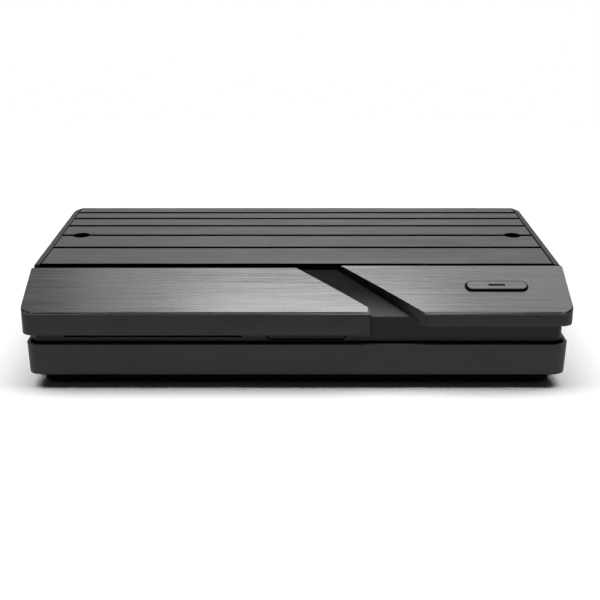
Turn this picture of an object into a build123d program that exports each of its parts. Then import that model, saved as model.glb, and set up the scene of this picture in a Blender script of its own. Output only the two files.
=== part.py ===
from build123d import *
from math import cos, radians, sin, tan
import os

# Satellite TV receiver. Millimetres and degrees. +X runs along the width, -Y is the front, +Z is up.
# The floor is Z = 0, and the origin is under the middle of the whole object, rear sockets included.

# ------------------------------------------------------------------ housing, driving sizes
body_width = 222.0            # over the lid
body_depth = 120.5            # front covers' wall to the lid's back edge
body_height = 45.7            # floor to the lid's flat top
shell_wall = 2.0              # walls of every moulded shell
fit_gap = 0.15                # clearance of a piece that drops into another
seat_gap = 0.3                # clearance between shells that only sit over each other

foot_height = 1.2             # how far the feet hold the plinth off the floor
foot_radius = 6.0
foot_recess = 0.8             # depth of the pocket that a foot is glued in
foot_inset = 24.0             # foot centres, in from the housing's sides
plinth_height = 2.2           # upright part of the plinth
undercut_height = 3.0         # sloped part between plinth and base wall
undercut_run = 5.3            # how far the plinth stands in from the base wall
base_inset = 1.1              # base wall, in from the covers' front and the lid's back
base_side_inset = 0.3         # base wall's rim, in from the covers' sides
base_draft = 0.3              # the base wall leans out by this much up to its rim
rim_drop = 26.2               # base wall's rim, under the lid's top
base_corner = 5.0
rim_thickness = 1.3           # base wall at its rim
rim_depth = 4.0
frame_inset = 3.5             # inner body, in from the covers' front
frame_side_inset = 2.7
frame_drop = 25.4             # lower edge of the inner body, under the lid's top
tongue_inset = 1.1            # the inner body's tongue, in from its outer wall
tongue_thickness = 1.6
tongue_drop = 3.5             # how far the tongue reaches down into the base
tongue_overlap = 1.2          # how far it runs up inside the inner body
tongue_corner = 1.5

# ------------------------------------------------------------------ front covers, driving sizes
cover_slope = 23.0            # tilt of the covers' tops
cover_edge_drop = 11.7        # edge of slope and front wall before its bevel, under the lid's top
bevel_height = 1.15           # bevel down the front wall
bevel_run = 0.5               # bevel up the slope
cover_corner = 5.0
cover_side_step = 0.9         # the covers stand this far out beyond the lid's sides
cover_top_wall = 1.8
cover_rim_wall = 1.6          # walls at the channel and at the back edge
left_cover_wall = 10.0        # height of the front wall under that edge
right_cover_wall = 6.1
lid_gap_left = 2.6            # dark seam between the lid and the left cover
lid_gap_right = 1.3
lid_front = 27.9              # lid's front edge, behind the covers' front
channel_left_angle = 37.8     # the channel's sides between the covers, from the width direction
channel_right_angle = 39.0
channel_inset = 78.7          # channel's left side at the covers' front, in from the right side
channel_width = 19.0          # channel along X, at the covers' front
ramp_rise = 2.0               # the channel's floor ends this far over the deck, at the lid
tip_cut = 2.4                 # the left cover's pointed end is cut square this far back
tip_bevel = 1.4               # the bevel turns round that end, this far along X
tip_radius = 0.8
point_radius = 2.0
left_back_radius = 9.0
right_front_radius = 2.5
right_back_radius = 0.6
channel_depth = 4.3           # the inner body's deck under the covers' tops, square to the slope
deck_wall = 2.0
clip_length = 5.0             # clips that hold the covers on the deck
clip_thickness = 1.6
clip_shoulder = 1.0           # the clips' feet stand out by this much all round
clip_rows = 13.0              # distance between the rows of clips, up the slope
clip_row_centre = 13.0
clip_side_inset = 14.0        # outermost clips of the left cover, in from the housing's side
clip_channel_gap = 39.3       # innermost clips of the left cover, in from the channel's front corner
right_clip_pitch = 44.0

# ------------------------------------------------------------------ lid, driving sizes
lid_wall = 3.0
lid_back_corner = 4.0
lid_back_skirt = 4.5
lid_window_margin = 4.0       # rear corner returns of the lid's skirt
side_bevel_width = 3.5
side_bevel_drop = 0.8
slat_count = 6
slat_growth = 1.212           # each slat is this much wider than the one behind it
groove_width = 2.5
groove_depth = 1.8
groove_end = 1.3              # the grooves stop this far inside the lid's sides
vent_count = 6
vent_pitch = 28.0
vent_length = 23.0
vent_width = 1.6
floor_vent_width = 2.4
floor_vent_pitch = 7.0
floor_vent_row_pitch = 34.5
floor_vent_count = 16
well_inset = 12.1             # screw wells' centres, in from the lid's sides
well_radius = 3.9
well_depth = 6.0
well_floor = 1.6
well_wall = 1.5

# ------------------------------------------------------------------ screws and posts
screw_radius = 1.5
screw_head_radius = 2.8
screw_head_height = 2.0
screw_play = 0.2              # clearance hole over the screw
thread_play = 0.02            # pilot hole over the screw, where the thread bites
screw_grip = 7.0              # length of screw in a post
pilot_spare = 1.0             # pilot holes are this much deeper than their screws
post_radius = 3.5
frame_post_radius = 4.0
frame_post_inset = 12.0       # frame posts, in from the housing's sides
frame_post_front = 14.5       # behind the covers' front
frame_post_rear_gap = 12.0    # back posts, in front of the rear panel's outer face
frame_post_drop = 3.7         # joint of the base's and the frame's posts, under the inner body's edge
base_screw_sink = 6.0

# ------------------------------------------------------------------ card slot, window and board
card_slot_height = 2.0
card_slot_length = 72.5
card_slot_inset = 52.3        # slit's centre, in from the left side
card_slot_rise = 2.8          # over the inner body's lower edge
reader_slot_level = 2.6       # card path over the main board
window_rise = 0.3             # over the inner body's lower edge
window_height = 4.4
window_half_width = 15.35     # at its lower edge
window_step = 62.4            # window's centre, right of the slit's centre
window_flare = 0.62           # each end leans out this much per millimetre of height
window_recess = 0.3
window_flange = 1.0

board_thickness = 1.6
board_side_gap = 18.0         # main board's ends, in from the housing's sides
board_front_gap = 1.4         # main board behind the frame's tongue
board_hole_inset = 8.0
board_hole_rise = 12.0
board_hole_step = 32.0        # front right hole, left of the button
board_play = 1.3              # board's back edge to the rear panel

# ------------------------------------------------------------------ button and switch
button_length = 26.1          # opening in the cover
button_width = 6.4
button_corner = 3.0
button_inset = 28.9           # button's centre, in from the right side
button_run = 15.5             # up the slope from the cover's front edge
button_gap = 0.4
button_proud = 0.9
button_edge = 0.25            # chamfer round the button's top
button_travel = 0.5
button_flange = 0.9           # flange all round, under the cover
button_flange_height = 0.8
button_play = 0.1
stem_radius = 1.6
stem_hole_play = 0.8
guide_length = 6.1            # light slit in the button
guide_width = 0.6
guide_play = 0.05
switch_size = 6.0
switch_height = 3.5
plunger_radius = 1.7
plunger_height = 1.1
plunger_depth = 1.5           # how far the plunger reaches into the switch
plunger_play = 0.06
stem_play = 0.05
button_board_length = 24.0
button_board_width = 12.0
button_board_drop = 5.8       # board under the deck
button_screw_spacing = 17.0
small_screw_radius = 1.0
small_boss_radius = 2.4

# ------------------------------------------------------------------ rear panel and sockets
panel_thickness = 1.0
panel_play = 0.2
panel_rib = 2.0               # ribs in the frame that the panel rests on
cutout_play = 0.3
socket_proud = 0.6            # sockets' faces beyond the rear panel
can_length = 46.0
can_depth = 30.0
can_height = 14.0
can_wall = 0.6
can_inset = 1.0               # tuner's end, in from the main board's end
f_spacing = 22.0
f_radius = 4.763              # 3/8 inch thread
f_root_radius = 4.28          # the thread is drawn at its root under the washer and the nut
f_root_spare = 0.3            # and on to this far beyond the nut
f_reach = 11.0                # beyond the rear panel
f_shoulder_radius = 6.2
f_socket_radius = 0.9
f_stub_radius = 2.2           # stub that is soldered into the tuner's wall
f_socket_depth = 6.0
f_level = 7.4                 # axis over the main board
nut_flats = 11.1
nut_height = 2.2
washer_radius = 6.6
washer_height = 0.6
optical_step = 33.0           # each socket's centre, left of the one before it
optical_size = 9.8
optical_depth = 13.0
optical_mouth = 7.4
shutter_thickness = 0.8
shutter_play = 0.3
shutter_pin_radius = 0.5
hdmi_step = 18.0
hdmi_width = 15.0
hdmi_height = 6.2
hdmi_depth = 12.0
hdmi_wall = 0.5
hdmi_tongue_width = 10.1
hdmi_tongue_rise = 3.4
lan_step = 23.0
lan_width = 16.0
lan_height = 13.6
lan_depth = 18.0
lan_mouth_width = 11.9
lan_mouth_height = 7.2
lan_mouth_depth = 13.0
lan_latch_drop = 1.6          # steps of the mouth for the plug's latch, under the mouth
lan_key_drop = 3.0
usb_step = 23.0
usb_width = 14.4
usb_height = 15.6
usb_depth = 17.0
usb_mouth_width = 12.6
usb_mouth_height = 5.2
usb_pitch = 7.3
usb_mouth_depth = 12.0
usb_tongue_width = 11.1
usb_tongue_thickness = 1.9
usb_tongue_rise = 1.0         # tongue's middle over the mouth's middle
usb_tongue_recess = 1.0
jack_step = 19.0
jack_width = 8.0
jack_height = 7.0
jack_depth = 12.0
jack_bore_radius = 1.8
jack_nose_radius = 3.0
jack_bore_depth = 13.0
dc_inset = 29.0               # power inlet's centre, in from the left side
dc_width = 9.2
dc_height = 11.0
dc_depth = 14.0
dc_bore_radius = 3.1
dc_bore_depth = 9.0
dc_pin_radius = 1.0
panel_vent_count = 27
panel_vent_pitch = 4.0
panel_vent_width = 2.0
panel_vent_height = 5.0

# ------------------------------------------------------------------ inner electronics
soc_size = 17.0
soc_height = 1.4
soc_step = 70.7               # main chip's centre, right of the card slit's centre
soc_behind = 61.0
pad_height = 0.5
sink_size = 46.0
sink_base = 3.0
sink_height = 15.0
fin_count = 10
fin_thickness = 1.3
sink_pin_inset = 4.0
memory_length = 12.0
memory_width = 8.0
memory_height = 1.1
memory_offset = 31.0
memory_row_pitch = 18.0
flash_size = 11.5
flash_step = 36.0             # left of the main chip's centre
inductor_size = 7.0
inductor_height = 3.5
inductor_pitch = 11.0
power_inset = 39.0            # inductors' and capacitors' middle, in from the left side
capacitor_radius = 3.2
capacitor_height = 9.0
capacitor_pitch = 9.5
reader_width = 62.0
reader_depth = 48.0
reader_height = 5.6
reader_wall = 0.8
card_path_width = 54.6
card_path_height = 1.4
ir_body_width = 5.6
ir_body_depth = 4.2
ir_body_height = 5.4
ir_lens_radius = 2.1
led_radius = 1.5
led_height = 4.6
led_spacing = 12.0
wifi_length = 24.0
wifi_width = 14.0
wifi_height = 2.6
wifi_inset = 46.0             # in from the right side
wifi_gap = 1.0                # in front of the heat sink
flex_width = 6.0
flex_thickness = 0.3
flex_bend = 3.0
flex_bend_radius = 2.4
flex_socket_height = 1.6
flex_socket_depth = 4.0

# ------------------------------------------------------------------ places worked out from these
half_width = body_width / 2
cover_half = half_width + cover_side_step
base_top = body_height - rim_drop
frame_bottom = body_height - frame_drop
cover_edge_height = body_height - cover_edge_drop
left_cover_bottom = cover_edge_height - left_cover_wall
right_cover_bottom = cover_edge_height - right_cover_wall
frame_post_level = frame_bottom - frame_post_drop
card_slot_level = frame_bottom + card_slot_rise
window_bottom = frame_bottom + window_rise
channel_left = half_width - channel_inset
left_cover_end = channel_left - tip_cut
card_slot_centre = card_slot_inset - half_width
window_centre = card_slot_centre + window_step
button_centre = half_width - button_inset
front_y = -(body_depth - frame_inset + f_reach) / 2
mid_y = front_y + body_depth / 2
slope_sin = sin(radians(cover_slope))
slope_cos = cos(radians(cover_slope))
slope_rise = tan(radians(cover_slope))

base_bottom = foot_height + plinth_height + undercut_height
floor_top = foot_height + shell_wall
frame_half = half_width - frame_side_inset
panel_behind = body_depth - frame_inset
panel_back = front_y + panel_behind
frame_post_back = panel_behind - frame_post_rear_gap
panel_front = panel_back - panel_thickness
lid_underside = body_height - lid_wall
board_top = card_slot_level - reader_slot_level
board_bottom = board_top - board_thickness
board_width = body_width - 2 * board_side_gap
board_front = front_y + frame_inset + tongue_inset + tongue_thickness + board_front_gap
board_back = panel_front - board_play
well_seat = body_height - well_depth
post_top = well_seat - well_floor
groove_span = body_depth - lid_front
back_slat = groove_span * (slat_growth - 1) / (slat_growth**slat_count - 1)
groove_depths = [
    body_depth - back_slat * (slat_growth**k - 1) / (slat_growth - 1) for k in range(1, slat_count)
]
well_behind = groove_depths[3]
socket_face = panel_back + socket_proud
can_centre = board_width / 2 - can_inset - can_length / 2
optical_centre = can_centre - optical_step
hdmi_centre = optical_centre - hdmi_step
lan_centre = hdmi_centre - lan_step
usb_centre = lan_centre - usb_step
jack_centre = usb_centre - jack_step
dc_centre = dc_inset - half_width
soc_centre = card_slot_centre + soc_step
flash_centre = soc_centre - flash_step
power_centre = power_inset - half_width
wifi_centre = half_width - wifi_inset


def behind(depth):
    """Y of a place this far behind the covers' front wall."""
    return front_y + depth


def cover_level(depth, under=0.0):
    """Height of the sloped top at a depth, or of a surface parallel to it and this far under it."""
    return cover_edge_height + depth * slope_rise - under / slope_cos


slope_plane = Plane(
    origin=(0, behind(0), cover_edge_height), x_dir=(1, 0, 0), z_dir=(0, -slope_sin, slope_cos)
)


up_slope_plane = Plane(
    origin=(left_cover_end, behind(0), cover_edge_height), x_dir=(1, 0, 0), z_dir=(0, slope_cos, slope_sin)
)


def channel_edge(is_left, depth, inset):
    """X of a cover's side of the channel at a depth, moved into that cover by an inset."""
    side, angle = (-1, radians(channel_left_angle)) if is_left else (1, radians(channel_right_angle))
    front_x = channel_left if is_left else channel_left + channel_width
    return front_x + side * inset / sin(angle) - depth / tan(angle)


def under_slope(distance):
    """The slope's plane, moved square to itself into the housing."""
    return slope_plane.offset(-distance)


def base_plan(inset, radius):
    """Rounded outline of the base, seen from above and set in from its rim."""
    with Locations((0, mid_y)):
        RectangleRounded(
            body_width - 2 * (base_side_inset + inset), body_depth - 2 * (base_inset + inset), radius
        )


def frame_plan(inset, radius, mode=Mode.ADD):
    """Rounded outline of the inner body, seen from above and set in from its outer wall."""
    with Locations((0, mid_y)):
        RectangleRounded(
            body_width - 2 * (frame_side_inset + inset),
            body_depth - 2 * (frame_inset + inset),
            radius,
            mode=mode,
        )


def grid(centre, pitch, count):
    """Centres of a rectangular grid, each argument an (x, y) pair."""
    return [
        (centre[0] + (i - (count[0] - 1) / 2) * pitch[0], centre[1] + (j - (count[1] - 1) / 2) * pitch[1])
        for i in range(count[0])
        for j in range(count[1])
    ]


def save(piece, label):
    piece.part.label = label
    export_step(piece.part, f"parts/{label}.step")


os.makedirs("parts", exist_ok=True)

foot_spots = grid(
    (0, mid_y), (body_width - 2 * foot_inset, body_depth - 2 * foot_inset + 2 * undercut_run), (2, 2)
)
floor_vent_spots = grid(
    (0, mid_y), (floor_vent_pitch, floor_vent_row_pitch), (floor_vent_count, 2)
)
frame_post_spots = [
    (side * (half_width - frame_post_inset), behind(depth))
    for side in (-1, 1)
    for depth in (frame_post_front, frame_post_back)
]
board_hole_spots = [
    (card_slot_centre + reader_width / 2 + board_hole_inset, board_front + board_hole_rise),
    (button_centre - board_hole_step, board_front + board_hole_rise),
    (board_hole_inset - board_width / 2, board_back - can_depth - board_hole_rise),
    (board_width / 2 - board_hole_inset, board_back - can_depth - board_hole_rise),
]
well_spots = [(side * (half_width - well_inset), behind(well_behind)) for side in (-1, 1)]

# ------------------------------------------------------------------ base tray
with BuildPart() as base_shell:
    with BuildSketch(Plane.XY.offset(foot_height)):
        base_plan(undercut_run, base_corner)
    extrude(amount=plinth_height)
    with BuildSketch(Plane.XY.offset(foot_height + plinth_height)):
        base_plan(undercut_run, base_corner)
    with BuildSketch(Plane.XY.offset(base_bottom)):
        base_plan(base_draft, base_corner)
    loft()
    with BuildSketch(Plane.XY.offset(base_bottom)):
        base_plan(base_draft, base_corner)
    with BuildSketch(Plane.XY.offset(base_top)):
        base_plan(0, base_corner)
    loft()
    with BuildSketch(Plane.XY.offset(floor_top)):
        base_plan(undercut_run + shell_wall, base_corner - shell_wall)
    extrude(amount=base_top, mode=Mode.SUBTRACT)
    with BuildSketch(Plane.XY.offset(base_bottom + shell_wall)):
        base_plan(base_draft + shell_wall, base_corner - shell_wall)
    extrude(amount=base_top, mode=Mode.SUBTRACT)
    with BuildSketch(Plane.XY.offset(base_top - rim_depth)):
        base_plan(rim_thickness, base_corner - rim_thickness)
    extrude(amount=base_top, mode=Mode.SUBTRACT)
    with BuildSketch(Plane.XY.offset(floor_top)):
        with Locations(*board_hole_spots):
            Circle(post_radius)
    extrude(amount=board_bottom - floor_top)
    with BuildSketch(Plane.XY.offset(floor_top)):
        with Locations(*well_spots):
            Circle(post_radius)
    extrude(amount=post_top - floor_top)
    with BuildSketch(Plane.XY.offset(floor_top)):
        with Locations(*frame_post_spots):
            Circle(frame_post_radius)
    extrude(amount=frame_post_level - floor_top)
    with Locations(Plane.XY.offset(board_bottom)):
        with Locations(*board_hole_spots):
            Hole(screw_radius + thread_play, screw_grip + pilot_spare)
    with Locations(Plane.XY.offset(post_top)):
        with Locations(*well_spots):
            Hole(screw_radius + thread_play, screw_grip + pilot_spare)
    with BuildSketch(Plane.XY.offset(foot_height)):
        with Locations(*frame_post_spots):
            Circle(screw_head_radius + screw_play)
    extrude(amount=base_screw_sink, mode=Mode.SUBTRACT)
    with BuildSketch(Plane.XY.offset(foot_height)):
        with Locations(*frame_post_spots):
            Circle(screw_radius + screw_play)
    extrude(amount=frame_post_level, mode=Mode.SUBTRACT)
    with BuildSketch(Plane.XY.offset(foot_height)):
        with Locations(*foot_spots):
            Circle(foot_radius + fit_gap)
    extrude(amount=foot_recess, mode=Mode.SUBTRACT)
    with BuildSketch(Plane.XY.offset(foot_height)):
        with Locations(*floor_vent_spots):
            Rectangle(floor_vent_width, vent_length)
    extrude(amount=shell_wall, mode=Mode.SUBTRACT)
save(base_shell, "base_shell")

with BuildPart() as rubber_feet:
    with BuildSketch():
        with Locations(*foot_spots):
            Circle(foot_radius)
    extrude(amount=foot_height + foot_recess)
save(rubber_feet, "rubber_feet")

# ------------------------------------------------------------------ inner body with its sloped deck
deck_back = lid_front + shell_wall
window_inner = frame_inset + shell_wall
window_plane = Plane(
    origin=(window_centre, behind(frame_inset), window_bottom), x_dir=(1, 0, 0), z_dir=(0, -1, 0)
)


def window_outline(gap):
    """Upside-down trapezoid of the window, made smaller all round by a gap."""
    bottom = window_half_width - gap
    top = bottom + window_height * window_flare
    Polygon(
        (-bottom, gap), (bottom, gap), (top, window_height - gap), (-top, window_height - gap), align=None
    )


def clip_spots(is_left):
    """Places of the clips under one cover, on the slope's plane."""
    if is_left:
        first = clip_side_inset - half_width
        pitch = (channel_left - clip_channel_gap - first) / 2
        return grid((first + pitch, clip_row_centre), (pitch, clip_rows), (3, 2))
    return grid((button_centre, clip_row_centre), (right_clip_pitch, clip_rows), (2, 2))


button_screw_spots = [
    (button_centre + side * button_screw_spacing / 2, button_run) for side in (-1, 1)
]
deck_under = channel_depth + deck_wall
button_board_level = deck_under + button_board_drop

# floor of the channel: it rises from the deck's front edge to just in front of the lid
ramp_end = lid_front - seat_gap
with BuildPart() as channel_floor:
    with BuildSketch(Plane.YZ):
        Polygon(
            (behind(frame_inset), cover_level(frame_inset, channel_depth)),
            (behind(ramp_end), cover_level(ramp_end, channel_depth)),
            (behind(ramp_end), cover_level(ramp_end, channel_depth) + ramp_rise),
            align=None,
        )
    extrude(amount=half_width, both=True)
    with BuildSketch():
        Polygon(
            (channel_edge(True, 0, -seat_gap), behind(0)),
            (channel_edge(False, 0, -seat_gap), behind(0)),
            (channel_edge(False, ramp_end, -seat_gap), behind(ramp_end)),
            (channel_edge(True, ramp_end, -seat_gap), behind(ramp_end)),
            align=None,
        )
    extrude(amount=body_height, mode=Mode.INTERSECT)

with BuildPart() as middle_frame:
    with BuildSketch(Plane.YZ):
        with BuildLine():
            Polyline(
                (behind(frame_inset), frame_bottom),
                (behind(frame_inset), cover_level(frame_inset, channel_depth)),
                (behind(deck_back), cover_level(deck_back, channel_depth)),
                (behind(deck_back), lid_underside),
                (panel_back, lid_underside),
                (panel_back, frame_bottom),
                close=True,
            )
        make_face()
    extrude(amount=frame_half, both=True)
    fillet(middle_frame.edges().filter_by(Axis.Z).group_by(Axis.Y)[0], cover_corner - shell_wall)
    with BuildSketch(Plane.YZ):
        with BuildLine():
            Polyline(
                (behind(window_inner), frame_bottom - 1),
                (behind(window_inner), cover_level(window_inner, deck_under)),
                (behind(deck_back + shell_wall), cover_level(deck_back + shell_wall, deck_under)),
                (behind(deck_back + shell_wall), lid_underside + 1),
                (panel_back + 1, lid_underside + 1),
                (panel_back + 1, frame_bottom - 1),
                close=True,
            )
        make_face()
    extrude(amount=frame_half - shell_wall, both=True, mode=Mode.SUBTRACT)
    # tongue that reaches down inside the base rim, open at the back
    with BuildSketch(Plane.XY.offset(frame_bottom - tongue_drop)):
        frame_plan(tongue_inset, tongue_corner + tongue_thickness)
        frame_plan(tongue_inset + tongue_thickness, tongue_corner, Mode.SUBTRACT)
        with Locations((0, panel_back)):
            Rectangle(body_width, 2 * (panel_thickness + panel_rib + tongue_inset), mode=Mode.SUBTRACT)
    extrude(amount=tongue_drop + tongue_overlap)
    # ribs that the rear panel rests on
    with BuildSketch(Plane.XY.offset(frame_bottom)):
        for side in (-1, 1):
            with Locations((side * (frame_half - shell_wall - panel_rib / 2), panel_front - panel_rib / 2)):
                Rectangle(panel_rib, panel_rib)
    extrude(amount=lid_underside - frame_bottom)
    # screw posts: the front pair hangs from the deck, the back pair is webbed to the side walls
    with BuildSketch(Plane.XY.offset(frame_post_level)):
        with Locations(*frame_post_spots[::2]):
            Circle(frame_post_radius)
    extrude(amount=cover_level(frame_post_front + frame_post_radius, deck_under) - frame_post_level)
    with BuildSketch(Plane.YZ):
        with BuildLine():
            Polyline(
                (behind(0), cover_level(0, channel_depth)),
                (behind(lid_front), cover_level(lid_front, channel_depth)),
                (behind(0), cover_level(lid_front, channel_depth)),
                close=True,
            )
        make_face()
    extrude(amount=half_width, both=True, mode=Mode.SUBTRACT)
    with BuildSketch(Plane.XY.offset(frame_post_level)):
        with Locations(*frame_post_spots[1::2]):
            Circle(frame_post_radius)
    extrude(amount=lid_underside - frame_post_level - screw_head_height)
    with BuildSketch(Plane.XY.offset(frame_bottom)):
        for side in (-1, 1):
            with Locations((side * (half_width - frame_post_inset), behind(frame_post_back))):
                Rectangle(
                    frame_post_inset - frame_side_inset,
                    shell_wall,
                    align=(Align.MIN if side > 0 else Align.MAX, Align.CENTER),
                )
    extrude(amount=lid_underside - frame_bottom - screw_head_height)
    with BuildSketch(Plane.XY.offset(frame_post_level)):
        with Locations(*frame_post_spots):
            Circle(screw_radius + thread_play)
    extrude(amount=screw_grip + pilot_spare, mode=Mode.SUBTRACT)
    add(channel_floor.part)
    # card slit and window
    with BuildSketch(Plane.XZ.offset(-behind(frame_inset))):
        with Locations((card_slot_centre, card_slot_level)):
            Rectangle(card_slot_length, card_slot_height)
    extrude(amount=-2 * (tongue_inset + tongue_thickness), mode=Mode.SUBTRACT)
    with BuildSketch(window_plane):
        window_outline(0)
    extrude(amount=-2 * (tongue_inset + tongue_thickness), mode=Mode.SUBTRACT)
    # slots for the covers' clips, a hole for the button's stem, and bosses for the button board
    with BuildSketch(under_slope(channel_depth)):
        with Locations(*clip_spots(True), *clip_spots(False)):
            Rectangle(clip_length + 2 * fit_gap, clip_thickness + 2 * fit_gap)
        with Locations((button_centre, button_run)):
            Circle(stem_radius + stem_hole_play)
    extrude(amount=-deck_wall, mode=Mode.SUBTRACT)
    with BuildSketch(under_slope(deck_under)):
        with Locations(*button_screw_spots):
            Circle(small_boss_radius)
    extrude(amount=-button_board_drop)
    with BuildSketch(under_slope(button_board_level)):
        with Locations(*button_screw_spots):
            Circle(small_screw_radius + thread_play)
    extrude(amount=button_board_drop, mode=Mode.SUBTRACT)
save(middle_frame, "middle_frame")

with BuildPart() as ir_window:
    with BuildSketch(window_plane.offset(-window_recess)):
        window_outline(fit_gap)
    extrude(amount=window_recess - tongue_inset - tongue_thickness)
    with BuildSketch(window_plane.offset(-tongue_inset - tongue_thickness)):
        window_outline(-window_flange)
    extrude(amount=-window_flange)
save(ir_window, "ir_window")

# ------------------------------------------------------------------ sloped front covers
def cover_outline(is_left, back, inset):
    """Plan of one cover: cut off by the channel's diagonal, and set in from it and from the seam."""
    side = -1 if is_left else 1
    front_x = channel_edge(is_left, 0, inset)
    back_x = channel_edge(is_left, back - inset, inset)
    end_x = left_cover_end - inset
    end_depth = (front_x - end_x) * tan(radians(channel_left_angle))
    tip = [(end_x, behind(0)), (end_x, behind(end_depth))] if is_left else [(front_x, behind(0))]
    Polygon(
        (side * cover_half, behind(0)),
        *tip,
        (back_x, behind(back - inset)),
        (side * cover_half, behind(back - inset)),
        align=None,
    )


def slope_block(front, back, under, low):
    """Cross-section below a surface parallel to the sloped top, from a front to a back depth."""
    Polygon(
        (behind(front), low),
        (behind(front), cover_level(front, under)),
        (behind(back), cover_level(back, under)),
        (behind(back), low),
        align=None,
    )


def cover_hollow(is_left, back):
    """Space between a cover's top and the deck, inside its walls."""
    with BuildPart() as hollow:
        with BuildSketch(Plane.YZ):
            slope_block(shell_wall, back, cover_top_wall, 0)
        extrude(amount=cover_half - shell_wall, both=True)
        fillet(hollow.edges().filter_by(Axis.Z).group_by(Axis.Y)[0], cover_corner - shell_wall)
        with BuildSketch():
            cover_outline(is_left, back, cover_rim_wall)
        extrude(amount=body_height, mode=Mode.INTERSECT)
    return hollow.part


def deck_space(back):
    """Space that a cover leaves for the inner body: everything under the deck, inside the front wall."""
    with BuildPart() as space:
        with BuildSketch(Plane.YZ):
            slope_block(shell_wall, back + 1, channel_depth - seat_gap, 0)
        extrude(amount=cover_half - shell_wall, both=True)
        fillet(space.edges().filter_by(Axis.Z).group_by(Axis.Y)[0], cover_corner - shell_wall)
    return space.part


def front_cover(is_left, bottom, back, corner_radii):
    """One front cover as an open shell with clips; the radii are of its channel corners, front to back."""
    with BuildPart() as cover:
        with BuildSketch(Plane.YZ):
            slope_block(0, back, 0, bottom)
        extrude(amount=cover_half, both=True)
        fillet(cover.edges().filter_by(Axis.Z).group_by(Axis.Y)[0], cover_corner)
        sloped_top = cover.faces().sort_by(Axis.Z)[-1]
        chamfer(
            sloped_top.edges().sort_by(Axis.Y)[:-1], bevel_run, length2=bevel_height, reference=sloped_top
        )
        with BuildSketch() as outline:
            cover_outline(is_left, back, 0)
            inner_corners = outline.vertices().sort_by(Axis.X, reverse=not is_left)[2:]
            for corner, radius in zip(inner_corners.sort_by(Axis.Y), corner_radii):
                fillet(corner, radius)
        extrude(amount=body_height, mode=Mode.INTERSECT)
        if is_left:
            with BuildSketch(up_slope_plane):
                Polygon(
                    (-2 * tip_bevel, -bevel_height),
                    (tip_bevel, -bevel_height),
                    (tip_bevel, 2 * bevel_height),
                    align=None,
                )
            extrude(amount=lid_front, both=True, mode=Mode.SUBTRACT)
        add(cover_hollow(is_left, back), mode=Mode.SUBTRACT)
        add(deck_space(back), mode=Mode.SUBTRACT)
        with BuildSketch(under_slope(cover_top_wall)):
            with Locations(*clip_spots(is_left)):
                Rectangle(clip_length + 2 * clip_shoulder, clip_thickness + 2 * clip_shoulder)
        extrude(amount=cover_top_wall - channel_depth)
        with BuildSketch(under_slope(channel_depth)):
            with Locations(*clip_spots(is_left)):
                Rectangle(clip_length, clip_thickness)
        extrude(amount=-deck_wall)
        if not is_left:
            with BuildSketch(slope_plane):
                with Locations((button_centre, button_run)):
                    RectangleRounded(button_length, button_width, button_corner)
            extrude(amount=-channel_depth, mode=Mode.SUBTRACT)
    return cover


front_cover_left = front_cover(
    True, left_cover_bottom, lid_front - lid_gap_left, (tip_radius, point_radius, left_back_radius)
)
save(front_cover_left, "front_cover_left")
front_cover_right = front_cover(
    False, right_cover_bottom, lid_front - lid_gap_right, (right_front_radius, right_back_radius)
)
save(front_cover_right, "front_cover_right")

# ------------------------------------------------------------------ power button
button_spot = Locations((button_centre, button_run))
flange_level = cover_top_wall + button_play
button_underside = flange_level + button_flange_height
plunger_level = button_board_level - switch_height - plunger_height
slope_axis = Axis(slope_plane.origin, slope_plane.z_dir)

with BuildPart() as power_button:
    with BuildSketch(under_slope(-button_proud)):
        with button_spot:
            RectangleRounded(
                button_length - 2 * button_gap, button_width - 2 * button_gap, button_corner - button_gap
            )
    extrude(amount=-button_proud - button_underside)
    chamfer(power_button.edges().group_by(slope_axis)[-1], button_edge)
    with BuildSketch(under_slope(flange_level)):
        with button_spot:
            RectangleRounded(
                button_length + 2 * button_flange, button_width + 2 * button_flange, button_corner
            )
    extrude(amount=-button_flange_height)
    with BuildSketch(under_slope(-button_proud)):
        with button_spot:
            Rectangle(guide_length + 2 * guide_play, guide_width + 2 * guide_play)
    extrude(amount=-button_proud - button_underside, mode=Mode.SUBTRACT)
    with BuildSketch(under_slope(button_underside)):
        with button_spot:
            Circle(stem_radius)
    extrude(amount=button_underside + stem_play - plunger_level)
save(power_button, "power_button")

with BuildPart() as button_light_guide:
    with BuildSketch(under_slope(-button_proud)):
        with button_spot:
            Rectangle(guide_length, guide_width)
    extrude(amount=-button_proud - button_underside)
save(button_light_guide, "button_light_guide")

with BuildPart() as switch_plunger:
    with BuildSketch(under_slope(plunger_level)):
        with button_spot:
            Circle(plunger_radius)
    extrude(amount=-plunger_height - plunger_depth)
save(switch_plunger, "switch_plunger")

with BuildPart() as tact_switch:
    with BuildSketch(under_slope(button_board_level)):
        with button_spot:
            Rectangle(switch_size, switch_size)
    extrude(amount=switch_height)
    with BuildSketch(under_slope(button_board_level - switch_height)):
        with button_spot:
            Circle(plunger_radius + plunger_play)
    extrude(amount=-plunger_depth - 2 * button_travel, mode=Mode.SUBTRACT)
save(tact_switch, "tact_switch")

with BuildPart() as button_board:
    with BuildSketch(under_slope(button_board_level)):
        with button_spot:
            Rectangle(button_board_length, button_board_width)
        with Locations(*button_screw_spots):
            Circle(small_screw_radius + screw_play, mode=Mode.SUBTRACT)
    extrude(amount=-board_thickness)
save(button_board, "button_board")

with BuildPart() as button_board_screws:
    with BuildSketch(under_slope(button_board_level + board_thickness)):
        with Locations(*button_screw_spots):
            Circle(small_boss_radius - screw_play)
    extrude(amount=-small_screw_radius)
    with BuildSketch(under_slope(button_board_level + board_thickness)):
        with Locations(*button_screw_spots):
            Circle(small_screw_radius)
    extrude(amount=board_thickness + button_board_drop / 2)
save(button_board_screws, "button_board_screws")

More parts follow.
